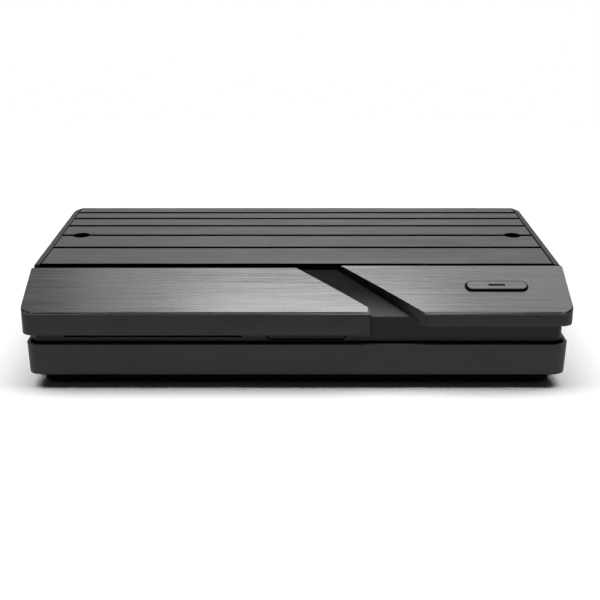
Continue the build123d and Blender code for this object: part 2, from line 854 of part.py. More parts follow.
# ------------------------------------------------------------------ ribbed lid
with BuildPart() as top_cover:
    with BuildSketch(Plane.XY.offset(left_cover_bottom)) as lid_outline:
        with Locations((0, behind(lid_front))):
            Rectangle(body_width, groove_span, align=(Align.CENTER, Align.MIN))
        fillet(lid_outline.vertices().group_by(Axis.Y)[-1], lid_back_corner)
    extrude(amount=body_height - left_cover_bottom)
    # side bevels
    with BuildSketch(Plane.XZ.offset(-mid_y)):
        with BuildLine():
            Polyline(
                (half_width - side_bevel_width, body_height),
                (half_width, body_height - side_bevel_drop),
                (half_width, body_height),
                close=True,
            )
        make_face()
        mirror(about=Plane.YZ)
    extrude(amount=body_depth, both=True, mode=Mode.SUBTRACT)
    # inside of the shell, open to the front and below
    with BuildSketch() as lid_inside:
        with Locations((0, behind(lid_front))):
            Rectangle(
                body_width - 2 * shell_wall, groove_span - shell_wall, align=(Align.CENTER, Align.MIN)
            )
        fillet(lid_inside.vertices().group_by(Axis.Y)[-1], lid_back_corner - shell_wall)
    extrude(amount=lid_underside, mode=Mode.SUBTRACT)
    # rear opening for the socket panel, and the ledge that holds the panel's upper edge
    with BuildSketch(Plane.XZ.offset(-behind(body_depth))):
        Rectangle(
            body_width - 2 * lid_window_margin, 2 * (body_height - lid_back_skirt), align=Align.CENTER
        )
    extrude(amount=lid_back_corner, mode=Mode.SUBTRACT)
    with BuildSketch(Plane.XY.offset(lid_underside)):
        with Locations((0, behind(body_depth - shell_wall))):
            Rectangle(
                body_width - 2 * frame_side_inset - 2 * shell_wall,
                frame_inset - shell_wall - panel_play,
                align=(Align.CENTER, Align.MAX),
            )
    extrude(amount=lid_underside - body_height + lid_back_skirt - lid_wall)
    # the right skirt ends level with the right cover
    with BuildSketch(Plane.XY.offset(left_cover_bottom)):
        with Locations((half_width, mid_y)):
            Rectangle(4 * lid_back_corner, 2 * body_depth)
    extrude(amount=right_cover_bottom - left_cover_bottom, mode=Mode.SUBTRACT)
    # grooves between the slats, with vents through their floors
    with BuildSketch(Plane.XY.offset(body_height)):
        with Locations(*[(0, behind(depth)) for depth in groove_depths]):
            Rectangle(body_width - 2 * groove_end, groove_width)
    extrude(amount=-groove_depth, mode=Mode.SUBTRACT)
    with BuildSketch(Plane.XY.offset(body_height)):
        for depth in groove_depths[:-1]:
            with Locations(*grid((0, behind(depth)), (vent_pitch, 0), (vent_count, 1))):
                Rectangle(vent_length, vent_width)
    extrude(amount=-lid_wall, mode=Mode.SUBTRACT)
    # screw wells
    with BuildSketch(Plane.XY.offset(post_top)):
        with Locations(*well_spots):
            Circle(well_radius + well_wall)
    extrude(amount=lid_underside - post_top)
    with BuildSketch(Plane.XY.offset(well_seat)):
        with Locations(*well_spots):
            Circle(well_radius)
    extrude(amount=well_depth, mode=Mode.SUBTRACT)
    with BuildSketch(Plane.XY.offset(post_top)):
        with Locations(*well_spots):
            Circle(screw_radius + screw_play)
    extrude(amount=well_floor, mode=Mode.SUBTRACT)
save(top_cover, "top_cover")


# ------------------------------------------------------------------ screws
def screws(spots, seat, reach, up):
    """Pan-head screws seated at a height; up is 1 where the head stands above its seat."""
    with BuildPart() as group:
        with BuildSketch(Plane.XY.offset(seat)):
            with Locations(*spots):
                Circle(screw_head_radius)
        extrude(amount=up * screw_head_height)
        with BuildSketch(Plane.XY.offset(seat)):
            with Locations(*spots):
                Circle(screw_radius)
        extrude(amount=-up * reach)
    return group


lid_screws = screws(well_spots, well_seat, well_floor + screw_grip, 1)
save(lid_screws, "lid_screws")
base_screws = screws(
    frame_post_spots,
    foot_height + base_screw_sink,
    frame_post_level - foot_height - base_screw_sink + screw_grip,
    -1,
)
save(base_screws, "base_screws")
board_screws = screws(board_hole_spots, board_top, board_thickness + screw_grip, 1)
save(board_screws, "board_screws")

# ------------------------------------------------------------------ main board and its chips
with BuildPart() as main_board:
    with BuildSketch(Plane.XY.offset(board_bottom)):
        with Locations((0, (board_front + board_back) / 2)):
            RectangleRounded(board_width, board_back - board_front, shell_wall)
        with Locations(*board_hole_spots):
            Circle(screw_radius + screw_play, mode=Mode.SUBTRACT)
    extrude(amount=board_thickness)
save(main_board, "main_board")

soc_spot = (soc_centre, behind(soc_behind))


def blocks(spots, length, width, height, level=board_top):
    """Flat rectangular bodies standing on the main board."""
    with BuildPart() as group:
        with BuildSketch(Plane.XY.offset(level)):
            with Locations(*spots):
                Rectangle(length, width)
        extrude(amount=height)
    return group


soc_chip = blocks([soc_spot], soc_size, soc_size, soc_height)
chamfer(soc_chip.edges().group_by(Axis.Z)[-1], soc_height / 4)
save(soc_chip, "soc_chip")
pad_level = board_top + soc_height
thermal_pad = blocks([soc_spot], soc_size, soc_size, pad_height, pad_level)
save(thermal_pad, "thermal_pad")

memory_spots = [
    (soc_centre + side * memory_offset, behind(soc_behind) + row * memory_row_pitch / 2)
    for side in (-1, 1)
    for row in (-1, 1)
]
memory_chips = blocks(memory_spots, memory_width, memory_length, memory_height)
save(memory_chips, "memory_chips")
flash_spot = (flash_centre, behind(soc_behind + sink_size / 2))
flash_chip = blocks([flash_spot], flash_size, flash_size, memory_height)
save(flash_chip, "flash_chip")
inductor_spots = [
    (power_centre + k * inductor_pitch, board_back - can_depth - inductor_size / 2) for k in (-1, 0, 1)
]
power_inductors = blocks(inductor_spots, inductor_size, inductor_size, inductor_height)
chamfer(power_inductors.edges().filter_by(Axis.Z), inductor_size / 6)
save(power_inductors, "power_inductors")

capacitor_spots = grid(
    (power_centre, board_back - dc_depth - 2 * capacitor_radius), (capacitor_pitch, 0), (4, 1)
)
with BuildPart() as capacitors:
    with BuildSketch(Plane.XY.offset(board_top)):
        with Locations(*capacitor_spots):
            Circle(capacitor_radius)
    extrude(amount=capacitor_height)
save(capacitors, "capacitors")

# finned heat sink, held to the board by two sprung pins
sink_level = pad_level + pad_height
sink_pin_spots = [
    (soc_centre + offset, behind(soc_behind) + offset)
    for offset in (sink_pin_inset - sink_size / 2, sink_size / 2 - sink_pin_inset)
]
fin_pitch = (sink_size - fin_thickness) / (fin_count - 1)
with BuildPart() as heat_sink:
    with BuildSketch(Plane.XY.offset(sink_level)):
        with Locations(soc_spot):
            Rectangle(sink_size, sink_size)
    extrude(amount=sink_base)
    with BuildSketch(Plane.XY.offset(sink_level + sink_base)):
        with Locations(*grid(soc_spot, (fin_pitch, 0), (fin_count, 1))):
            Rectangle(fin_thickness, sink_size)
    extrude(amount=sink_height - sink_base)
    with BuildSketch(Plane.XY.offset(sink_level)):
        with Locations(*sink_pin_spots):
            Rectangle(2 * sink_pin_inset, 2 * sink_pin_inset)
    extrude(amount=sink_height, mode=Mode.SUBTRACT)
    with BuildSketch(Plane.XY.offset(sink_level)):
        with Locations(*sink_pin_spots):
            Rectangle(2 * sink_pin_inset, 2 * sink_pin_inset)
            Circle(screw_radius, mode=Mode.SUBTRACT)
    extrude(amount=sink_base)
save(heat_sink, "heat_sink")

with BuildPart() as heat_sink_pins:
    with BuildSketch(Plane.XY.offset(sink_level + sink_base)):
        with Locations(*sink_pin_spots):
            Circle(screw_head_radius)
    extrude(amount=screw_head_height)
    with BuildSketch(Plane.XY.offset(board_top)):
        with Locations(*sink_pin_spots):
            Circle(screw_radius - thread_play)
    extrude(amount=sink_level + sink_base - board_top)
save(heat_sink_pins, "heat_sink_pins")

wifi_spot = (wifi_centre, behind(soc_behind - sink_size / 2) - wifi_gap - wifi_width / 2)
wifi_module = blocks([wifi_spot], wifi_length, wifi_width, wifi_height)
save(wifi_module, "wifi_module")

# ------------------------------------------------------------------ card reader, receiver and lamp
with BuildPart() as card_reader:
    with BuildSketch(Plane.XY.offset(board_top)):
        with Locations((card_slot_centre, board_front)):
            Rectangle(reader_width, reader_depth, align=(Align.CENTER, Align.MIN))
    extrude(amount=reader_height)
    with BuildSketch(Plane.XZ.offset(-board_front)):
        with Locations((card_slot_centre, card_slot_level)):
            Rectangle(card_path_width, card_path_height)
    extrude(amount=reader_wall - reader_depth, mode=Mode.SUBTRACT)
    # round window in the reader's roof, over the contacts
    with BuildSketch(Plane.XY.offset(card_slot_level)):
        with Locations((card_slot_centre, board_front + reader_depth / 2)):
            SlotOverall(reader_width / 2, reader_depth / 4)
    extrude(amount=reader_height, mode=Mode.SUBTRACT)
save(card_reader, "card_reader")

with BuildPart() as ir_receiver:
    with BuildSketch(Plane.XY.offset(board_top)):
        with Locations((window_centre - led_spacing / 2, board_front + ir_body_depth)):
            Rectangle(ir_body_width, ir_body_depth)
    extrude(amount=ir_body_height)
    with Locations(
        (window_centre - led_spacing / 2, board_front + ir_body_depth / 2, board_top + ir_body_height / 2)
    ):
        Cylinder(ir_lens_radius, ir_body_height)
save(ir_receiver, "ir_receiver")

with BuildPart() as status_led:
    with BuildSketch(Plane.XY.offset(board_top)):
        with Locations((window_centre + led_spacing / 2, board_front + ir_body_depth)):
            Circle(led_radius)
    extrude(amount=led_height)
    chamfer(status_led.edges().group_by(Axis.Z)[-1], led_radius / 2)
save(status_led, "status_led")

# ------------------------------------------------------------------ ribbon cable from the button board
upper_socket_level = button_board_level + board_thickness
flex_exit_level = upper_socket_level + flex_socket_height / 2
flex_exit = under_slope(flex_exit_level).from_local_coords(
    (button_centre, button_run + flex_socket_depth / 2)
)
flex_bend_top = under_slope(flex_exit_level).from_local_coords(
    (button_centre, button_run + flex_socket_depth / 2 + 2 * flex_bend)
)
flex_entry_y = behind(frame_post_front) + flex_socket_depth / 2
flex_entry_z = board_top + flex_socket_height / 2

with BuildPart() as button_flex_cable:
    with BuildSketch(Plane.YZ.offset(button_centre)):
        with BuildLine():
            FilletPolyline(
                (flex_exit.Y, flex_exit.Z),
                (flex_bend_top.Y, flex_bend_top.Z),
                (flex_bend_top.Y, flex_entry_z),
                (flex_entry_y, flex_entry_z),
                radius=flex_bend_radius,
            )
        trace(line_width=flex_thickness)
    extrude(amount=flex_width / 2, both=True)
save(button_flex_cable, "button_flex_cable")

with BuildPart() as flex_sockets:
    with BuildSketch(under_slope(upper_socket_level)):
        with button_spot:
            Rectangle(flex_width + shell_wall, flex_socket_depth)
    extrude(amount=-flex_socket_height)
    with BuildSketch(Plane.XY.offset(board_top)):
        with Locations((button_centre, flex_entry_y)):
            Rectangle(flex_width + shell_wall, flex_socket_depth, align=(Align.CENTER, Align.MAX))
    extrude(amount=flex_socket_height)
save(flex_sockets, "flex_sockets")

# ------------------------------------------------------------------ tuner and its two coaxial sockets
f_spots = [(can_centre + side * f_spacing / 2, board_top + f_level) for side in (-1, 1)]
can_rear_plane = Plane.XZ.offset(-board_back)
panel_front_plane = Plane.XZ.offset(-panel_front)
panel_back_plane = Plane.XZ.offset(-panel_back)
socket_plane = Plane.XZ.offset(-socket_face)
f_root_reach = washer_height + nut_height + f_root_spare

with BuildPart() as tuner_can:
    with BuildSketch(Plane.XY.offset(board_top)):
        with Locations((can_centre, board_back)):
            Rectangle(can_length, can_depth, align=(Align.CENTER, Align.MAX))
        with Locations((can_centre, board_back - can_wall)):
            Rectangle(
                can_length - 2 * can_wall,
                can_depth - 2 * can_wall,
                align=(Align.CENTER, Align.MAX),
                mode=Mode.SUBTRACT,
            )
        with Locations((can_centre, board_back - can_wall)):
            Rectangle(can_wall, can_depth - can_wall, align=(Align.CENTER, Align.MAX))
    extrude(amount=can_height - can_wall)
    with BuildSketch(can_rear_plane):
        with Locations(*f_spots):
            Circle(f_stub_radius + fit_gap)
    extrude(amount=can_wall, mode=Mode.SUBTRACT)
save(tuner_can, "tuner_can")

can_middle = (can_centre, board_back - can_depth / 2)
with BuildPart() as tuner_can_lid:
    with BuildSketch(Plane.XY.offset(board_top + can_height - can_wall)):
        with Locations((can_centre, board_back)):
            Rectangle(can_length, can_depth, align=(Align.CENTER, Align.MAX))
        with Locations(*grid(can_middle, (can_length / 4, can_depth / 2), (4, 2))):
            Rectangle(screw_radius, 2 * screw_radius, mode=Mode.SUBTRACT)
    extrude(amount=can_wall)
save(tuner_can_lid, "tuner_can_lid")

with BuildPart() as f_connectors:
    with BuildSketch(can_rear_plane):
        with Locations(*f_spots):
            Circle(f_stub_radius)
    extrude(amount=2 * can_wall)
    with BuildSketch(can_rear_plane):
        with Locations(*f_spots):
            Circle(f_shoulder_radius)
    extrude(amount=board_back - panel_front)
    with BuildSketch(panel_front_plane):
        with Locations(*f_spots):
            Circle(f_root_radius)
    extrude(amount=-panel_thickness - f_root_reach)
    with BuildSketch(panel_back_plane.offset(-f_reach)):
        with Locations(*f_spots):
            Circle(f_radius)
    extrude(amount=f_reach - f_root_reach)
    with BuildSketch(panel_back_plane.offset(-f_reach)):
        with Locations(*f_spots):
            Circle(f_socket_radius)
    extrude(amount=f_socket_depth, mode=Mode.SUBTRACT)
save(f_connectors, "f_connectors")

with BuildPart() as f_washers:
    with BuildSketch(panel_back_plane):
        with Locations(*f_spots):
            Circle(washer_radius)
            Circle(f_root_radius + fit_gap, mode=Mode.SUBTRACT)
    extrude(amount=-washer_height)
save(f_washers, "f_washers")

with BuildPart() as f_nuts:
    with BuildSketch(panel_back_plane.offset(-washer_height)):
        with Locations(*f_spots):
            RegularPolygon(nut_flats / 2, 6, major_radius=False)
            Circle(f_root_radius + thread_play, mode=Mode.SUBTRACT)
    extrude(amount=-nut_height)
save(f_nuts, "f_nuts")


# ------------------------------------------------------------------ sockets on the board's back edge
def socket_block(centre, width, height, depth):
    """Outer body of a socket: its face stands just proud of the rear panel."""
    with BuildSketch(socket_plane) as face:
        with Locations((centre, board_top)):
            Rectangle(width, height, align=(Align.CENTER, Align.MIN))
    extrude(face.sketch, amount=depth)


def mouth(centre, level, width, height, depth):
    """Rectangular hollow, open at the socket's face and centred on a level over the board."""
    with BuildSketch(socket_plane) as face:
        with Locations((centre, board_top + level)):
            Rectangle(width, height)
    extrude(face.sketch, amount=depth, mode=Mode.SUBTRACT)


with BuildPart() as hdmi_socket:
    socket_block(hdmi_centre, hdmi_width, hdmi_height, hdmi_depth)
    hdmi_mouth_width = hdmi_width - 2 * hdmi_wall
    hdmi_mouth_height = hdmi_height - 2 * hdmi_wall
    with BuildSketch(socket_plane) as hdmi_mouth:
        with Locations((hdmi_centre, board_top + hdmi_height / 2)):
            Rectangle(hdmi_mouth_width, hdmi_mouth_height)
        chamfer(hdmi_mouth.vertices().group_by(Axis.Z)[0], hdmi_mouth_height / 3)
    extrude(amount=hdmi_depth - hdmi_wall, mode=Mode.SUBTRACT)
    with BuildSketch(socket_plane.offset(hdmi_wall)):
        with Locations((hdmi_centre, board_top + hdmi_tongue_rise)):
            Rectangle(hdmi_tongue_width, 2 * hdmi_wall)
    extrude(amount=hdmi_depth - 2 * hdmi_wall)
save(hdmi_socket, "hdmi_socket")

with BuildPart() as lan_socket:
    socket_block(lan_centre, lan_width, lan_height, lan_depth)
    lan_step_level = (lan_height - lan_mouth_height) / 2
    mouth(lan_centre, lan_height / 2, lan_mouth_width, lan_mouth_height, lan_mouth_depth)
    mouth(lan_centre, lan_step_level, lan_mouth_width / 2, 2 * lan_latch_drop, lan_mouth_depth)
    mouth(lan_centre, lan_step_level, lan_mouth_width / 3, 2 * lan_key_drop, lan_mouth_depth)
save(lan_socket, "lan_socket")

with BuildPart() as usb_socket:
    socket_block(usb_centre, usb_width, usb_height, usb_depth)
    for side in (-1, 1):
        level = usb_height / 2 + side * usb_pitch / 2
        mouth(usb_centre, level, usb_mouth_width, usb_mouth_height, usb_mouth_depth)
        with BuildSketch(socket_plane.offset(usb_tongue_recess)):
            with Locations((usb_centre, board_top + level + usb_tongue_rise)):
                Rectangle(usb_tongue_width, usb_tongue_thickness)
        extrude(amount=usb_mouth_depth - usb_tongue_recess)
save(usb_socket, "usb_socket")

jack_face = socket_plane.offset(-socket_proud)
with BuildPart() as infrared_jack:
    with BuildSketch(panel_front_plane.offset(seat_gap)):
        with Locations((jack_centre, board_top)):
            Rectangle(jack_width, jack_height, align=(Align.CENTER, Align.MIN))
    extrude(amount=jack_depth)
    with BuildSketch(jack_face):
        with Locations((jack_centre, board_top + jack_height / 2)):
            Circle(jack_nose_radius)
    extrude(amount=2 * socket_proud + panel_thickness + seat_gap)
    with BuildSketch(jack_face):
        with Locations((jack_centre, board_top + jack_height / 2)):
            Circle(jack_bore_radius)
    extrude(amount=jack_bore_depth, mode=Mode.SUBTRACT)
save(infrared_jack, "infrared_jack")

with BuildPart() as dc_jack:
    socket_block(dc_centre, dc_width, dc_height, dc_depth)
    with BuildSketch(socket_plane):
        with Locations((dc_centre, board_top + dc_height / 2)):
            Circle(dc_bore_radius)
            Circle(dc_pin_radius, mode=Mode.SUBTRACT)
    extrude(amount=dc_bore_depth, mode=Mode.SUBTRACT)
save(dc_jack, "dc_jack")

# optical output with a sprung shutter that swings in and up about its top edge
optical_level = board_top + optical_size / 2
shutter_top = optical_level + optical_mouth / 2
shutter_axis_y = socket_face - 2 * shutter_thickness
shutter_axis_z = shutter_top - shutter_thickness
with BuildPart() as optical_socket:
    socket_block(optical_centre, optical_size, optical_size, optical_depth)
    with BuildSketch(socket_plane) as optical_mouth_shape:
        with Locations((optical_centre, optical_level)):
            Rectangle(optical_mouth, optical_mouth)
        chamfer(optical_mouth_shape.vertices().group_by(Axis.Z)[0], optical_mouth / 8)
    extrude(amount=optical_depth - shell_wall, mode=Mode.SUBTRACT)
    with BuildSketch(Plane.YZ.offset(optical_centre)):
        with Locations((shutter_axis_y, shutter_axis_z)):
            Circle(shutter_pin_radius + plunger_play)
    extrude(amount=optical_mouth / 2 + shutter_play, both=True, mode=Mode.SUBTRACT)
save(optical_socket, "optical_socket")

with BuildPart() as optical_shutter:
    with BuildSketch(Plane.XZ.offset(-shutter_axis_y)) as flap:
        with Locations((optical_centre, shutter_axis_z)):
            Rectangle(
                optical_mouth - 2 * shutter_play,
                optical_mouth - shutter_thickness - shutter_play,
                align=(Align.CENTER, Align.MAX),
            )
        chamfer(flap.vertices().group_by(Axis.Z)[0], optical_mouth / 8)
    extrude(amount=shutter_thickness / 2, both=True)
    with BuildSketch(Plane.YZ.offset(optical_centre)):
        with Locations((shutter_axis_y, shutter_axis_z)):
            Circle(shutter_pin_radius)
    extrude(amount=optical_mouth / 2 + shutter_play / 2, both=True)
save(optical_shutter, "optical_shutter")

# ------------------------------------------------------------------ rear panel
with BuildPart() as rear_panel:
    panel_top = lid_underside - panel_play
    panel_low = base_top - rim_depth + panel_play
    with BuildSketch(panel_back_plane):
        with Locations((0, panel_low)):
            Rectangle(
                body_width - 2 * (frame_side_inset + shell_wall + panel_play),
                panel_top - panel_low,
                align=(Align.CENTER, Align.MIN),
            )
        with Locations(*f_spots):
            Circle(f_radius + fit_gap, mode=Mode.SUBTRACT)
        with Locations((jack_centre, board_top + jack_height / 2)):
            Circle(jack_nose_radius + cutout_play, mode=Mode.SUBTRACT)
        for centre, width, height in (
            (optical_centre, optical_size, optical_size),
            (hdmi_centre, hdmi_width, hdmi_height),
            (lan_centre, lan_width, lan_height),
            (usb_centre, usb_width, usb_height),
            (dc_centre, dc_width, dc_height),
        ):
            with Locations((centre, board_top - cutout_play)):
                Rectangle(
                    width + 2 * cutout_play,
                    height + 2 * cutout_play,
                    align=(Align.CENTER, Align.MIN),
                    mode=Mode.SUBTRACT,
                )
        panel_vent_row = (lan_centre, panel_top - panel_vent_height)
        with Locations(*grid(panel_vent_row, (panel_vent_pitch, 0), (panel_vent_count, 1))):
            Rectangle(panel_vent_width, panel_vent_height, mode=Mode.SUBTRACT)
    extrude(amount=panel_thickness)
save(rear_panel, "rear_panel")
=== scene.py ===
import math

import bmesh
import bpy
from mathutils import Matrix, Vector


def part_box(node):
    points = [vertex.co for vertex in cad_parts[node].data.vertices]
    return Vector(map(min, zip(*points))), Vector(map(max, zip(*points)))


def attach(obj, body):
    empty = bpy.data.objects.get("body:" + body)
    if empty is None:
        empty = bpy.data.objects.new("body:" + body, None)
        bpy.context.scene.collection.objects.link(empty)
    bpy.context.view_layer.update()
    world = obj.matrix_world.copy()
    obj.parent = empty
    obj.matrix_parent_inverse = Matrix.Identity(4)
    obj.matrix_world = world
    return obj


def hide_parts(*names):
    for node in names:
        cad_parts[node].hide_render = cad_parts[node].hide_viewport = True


bl_info = {
    "name": "Satellite TV Receiver Finisher",
    "version": (1, 0, 0),
    "blender": (4, 5, 0),
    "location": "View3D > Sidebar > Receiver",
    "description": "Gives a packed satellite receiver its finishes, threads, screws, contacts and studio",
    "category": "Object",
}

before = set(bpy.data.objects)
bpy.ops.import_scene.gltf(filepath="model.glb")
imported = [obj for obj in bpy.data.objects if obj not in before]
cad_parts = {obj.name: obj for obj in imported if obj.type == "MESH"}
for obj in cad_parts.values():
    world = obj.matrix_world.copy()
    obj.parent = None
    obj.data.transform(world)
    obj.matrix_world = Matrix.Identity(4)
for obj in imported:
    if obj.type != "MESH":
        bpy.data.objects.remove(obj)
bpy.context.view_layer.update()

MM = 0.001
COVER_SLOPE = math.radians(23.0)
SLOPE_UP = Vector((0.0, -math.sin(COVER_SLOPE), math.cos(COVER_SLOPE)))  # normal of the covers' tops


def linear(code):
    """Linear colour of an sRGB hex code such as "#7a7b7d"."""
    levels = [int(code[i : i + 2], 16) / 255 for i in (1, 3, 5)]
    return tuple(c / 12.92 if c <= 0.04045 else ((c + 0.055) / 1.055) ** 2.4 for c in levels)


# ------------------------------------------------------------------ shader nodes
def add_node(tree, kind, inputs=None, **settings):
    """Adds a shader node with its settings; inputs maps a socket to a value or to another node's output."""
    new = tree.nodes.new(kind)
    for name, value in settings.items():
        setattr(new, name, value)
    for socket, value in (inputs or {}).items():
        if isinstance(value, bpy.types.NodeSocket):
            tree.links.new(value, new.inputs[socket])
        else:
            new.inputs[socket].default_value = value
    return new


def new_material(name):
    """An empty material, its node tree and its surface output."""
    material = bpy.data.materials.new(name)
    material.use_nodes = True
    material.node_tree.nodes.clear()
    tree = material.node_tree
    return material, tree, add_node(tree, "ShaderNodeOutputMaterial")


def stretched_noise(tree, grain, detail=4.0, roughness=0.6, seed=0.0):
    """Noise whose grains have these lengths in millimetres along X, Y and Z."""
    place = add_node(tree, "ShaderNodeTexCoord").outputs["Object"]
    scale = tuple(1 / (length * MM) for length in grain)
    scaled = add_node(
        tree,
        "ShaderNodeMapping",
        {"Vector": place, "Location": (seed, 2 * seed, 3 * seed), "Scale": scale},
    )
    noise = add_node(
        tree,
        "ShaderNodeTexNoise",
        {"Vector": scaled.outputs[0], "Scale": 1.0, "Detail": detail, "Roughness": roughness},
    )
    return noise.outputs["Fac"]


def spread(tree, value, low, high, out_low=0.0, out_high=1.0):
    """Stretches the part of a value between low and high to a new range."""
    limits = {"Value": value, "From Min": low, "From Max": high, "To Min": out_low, "To Max": out_high}
    return add_node(tree, "ShaderNodeMapRange", limits).outputs[0]


def tinted(tree, mask, first, second):
    """Mixes two colours by a mask."""
    colours = {0: mask, 6: (*first, 1.0), 7: (*second, 1.0)}
    return add_node(tree, "ShaderNodeMix", colours, data_type="RGBA").outputs[2]


def bumped(tree, height, depth):
    """Surface normal of a height map whose full range is a depth in metres."""
    relief = {"Height": height, "Strength": 1.0, "Distance": depth}
    return add_node(tree, "ShaderNodeBump", relief).outputs[0]


def shaded(colour, share):
    """The same colour at a share of its brightness."""
    return tuple(c * share for c in colour)


def mottled(tree, mask, colour, low, high):
    """A colour that a mask varies between two shares of its brightness."""
    return tinted(tree, mask, shaded(colour, low), shaded(colour, high))


def brushed_aluminium(name, colour, roughness, streak_seed, contrast=0.25):
    """Anodised aluminium, brushed along X: long fine streaks catch the light across the brushing."""
    material, tree, output = new_material(name)
    # brush lines 0.6 mm apart and 40 mm long, with faint bands of 2 mm between them
    lines = stretched_noise(tree, (40.0, 0.6, 0.6), 4.0, 0.6, streak_seed)
    bands = stretched_noise(tree, (90.0, 2.0, 2.0), 2.0, 0.5, streak_seed + 5)
    mask = add_node(
        tree,
        "ShaderNodeMath",
        {0: bands, 1: 0.5, 2: spread(tree, lines, 0.3, 0.7)},
        operation="MULTIPLY_ADD",
    ).outputs[0]
    # the sum of both patterns lies between these two
    faint, strong = 0.1, 1.4
    tone = spread(tree, mask, faint, strong)
    across = add_node(tree, "ShaderNodeCombineXYZ", {0: 0.0, 1: 1.0, 2: 1.0}).outputs[0]
    shader = add_node(
        tree,
        "ShaderNodeBsdfPrincipled",
        {
            "Base Color": mottled(tree, tone, colour, 1 - contrast, 1 + contrast),
            "Metallic": 1.0,
            "Roughness": spread(tree, mask, faint, strong, roughness - 0.11, roughness + 0.11),
            "Anisotropic": 0.75,
            "Tangent": across,
            "Normal": bumped(tree, lines, 0.004 * MM),
        },
    )
    tree.links.new(shader.outputs[0], output.inputs[0])
    return material


def blasted_aluminium(name, colour, roughness):
    """Black anodised aluminium, glass-bead blasted: an even satin without streaks."""
    material, tree, output = new_material(name)
    # bead craters about 0.15 mm across, over a slow mottle of the dye
    craters = stretched_noise(tree, (0.15, 0.15, 0.15), 2.0, 0.5, 21.0)
    dye = stretched_noise(tree, (18.0, 18.0, 18.0), 2.0, 0.5, 23.0)
    shader = add_node(
        tree,
        "ShaderNodeBsdfPrincipled",
        {
            "Base Color": mottled(tree, spread(tree, dye, 0.35, 0.65), colour, 0.92, 1.06),
            "Metallic": 1.0,
            "Roughness": spread(tree, craters, 0.3, 0.7, roughness - 0.04, roughness + 0.04),
            "Normal": bumped(tree, craters, 0.003 * MM),
        },
    )
    tree.links.new(shader.outputs[0], output.inputs[0])
    return material


def moulded_plastic(name, colour, roughness, grain, depth, specular=0.5):
    """Moulded plastic with a spark-eroded grain: breaks up the gloss so that light spreads softly."""
    material, tree, output = new_material(name)
    texture = stretched_noise(tree, (grain, grain, grain), 3.0, 0.6)
    flow = stretched_noise(tree, (60.0, 25.0, 25.0), 2.0, 0.5, 7.0)
    shader = add_node(
        tree,
        "ShaderNodeBsdfPrincipled",
        {
            "Base Color": mottled(tree, spread(tree, flow, 0.35, 0.65), colour, 0.85, 1.15),
            "Roughness": spread(tree, texture, 0.3, 0.7, roughness - 0.08, roughness + 0.08),
            "IOR": 1.5,
            "Specular IOR Level": specular,
            "Normal": bumped(tree, texture, depth * MM),
        },
    )
    tree.links.new(shader.outputs[0], output.inputs[0])
    return material


def plated_metal(name, colour, roughness, grain, depth):
    """Plated or rolled sheet metal: a faint mottle and fine rolling marks soften its reflections."""
    material, tree, output = new_material(name)
    mottle = stretched_noise(tree, (grain, grain, grain), 4.0, 0.6, 3.0)
    shader = add_node(
        tree,
        "ShaderNodeBsdfPrincipled",
        {
            "Base Color": mottled(tree, spread(tree, mottle, 0.3, 0.7), colour, 0.88, 1.08),
            "Metallic": 1.0,
            "Roughness": spread(tree, mottle, 0.3, 0.7, roughness - 0.05, roughness + 0.08),
            "Normal": bumped(tree, mottle, depth * MM),
        },
    )
    tree.links.new(shader.outputs[0], output.inputs[0])
    return material


def powder_coat(name, colour):
    """Steel sheet with powder coat: a fine orange peel under a satin sheen."""
    material, tree, output = new_material(name)
    peel = stretched_noise(tree, (0.9, 0.9, 0.9), 2.0, 0.5, 11.0)
    shader = add_node(
        tree,
        "ShaderNodeBsdfPrincipled",
        {
            "Base Color": mottled(tree, peel, colour, 0.9, 1.1),
            "Roughness": spread(tree, peel, 0.3, 0.7, 0.42, 0.52),
            "IOR": 1.5,
            "Normal": bumped(tree, peel, 0.02 * MM),
        },
    )
    tree.links.new(shader.outputs[0], output.inputs[0])
    return material


def board_laminate(name, mask_colour, trace_colour):
    """Glass-epoxy board under solder mask: traces show as paler lines below a glossy coat."""
    material, tree, output = new_material(name)
    place = add_node(tree, "ShaderNodeTexCoord").outputs["Object"]
    cells = add_node(
        tree,
        "ShaderNodeTexVoronoi",
        {"Vector": place, "Scale": 1 / (6.0 * MM), "Randomness": 0.9},
        distance="MANHATTAN",
        feature="F2",
    )
    traces = spread(tree, cells.outputs["Distance"], 0.62, 0.66)
    shader = add_node(
        tree,
        "ShaderNodeBsdfPrincipled",
        {
            "Base Color": tinted(tree, traces, mask_colour, trace_colour),
            "Roughness": 0.35,
            "IOR": 1.5,
            "Normal": bumped(tree, traces, 0.03 * MM),
        },
    )
    tree.links.new(shader.outputs[0], output.inputs[0])
    return material


def clear_resin(name, colour, roughness, specular=0.5):
    """Cast or moulded clear resin: a smooth skin with a little ripple in its gloss."""
    material, tree, output = new_material(name)
    ripple = stretched_noise(tree, (4.0, 4.0, 4.0), 2.0, 0.5, 2.0)
    shader = add_node(
        tree,
        "ShaderNodeBsdfPrincipled",
        {
            "Base Color": mottled(tree, ripple, colour, 0.9, 1.0),
            "Roughness": roughness,
            "IOR": 1.49,
            "Specular IOR Level": specular,
            "Normal": bumped(tree, ripple, 0.004 * MM),
        },
    )
    tree.links.new(shader.outputs[0], output.inputs[0])
    return material


# ------------------------------------------------------------------ meshes
def whole_mesh(node):
    """A CAD node's shape as one connected mesh with its flat faces whole again."""
    mesh = bmesh.new()
    mesh.from_mesh(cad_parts[node].data)
    bmesh.ops.remove_doubles(mesh, verts=mesh.verts, dist=1e-6)
    bmesh.ops.dissolve_limit(mesh, angle_limit=math.radians(0.4), verts=mesh.verts, edges=mesh.edges)
    return mesh


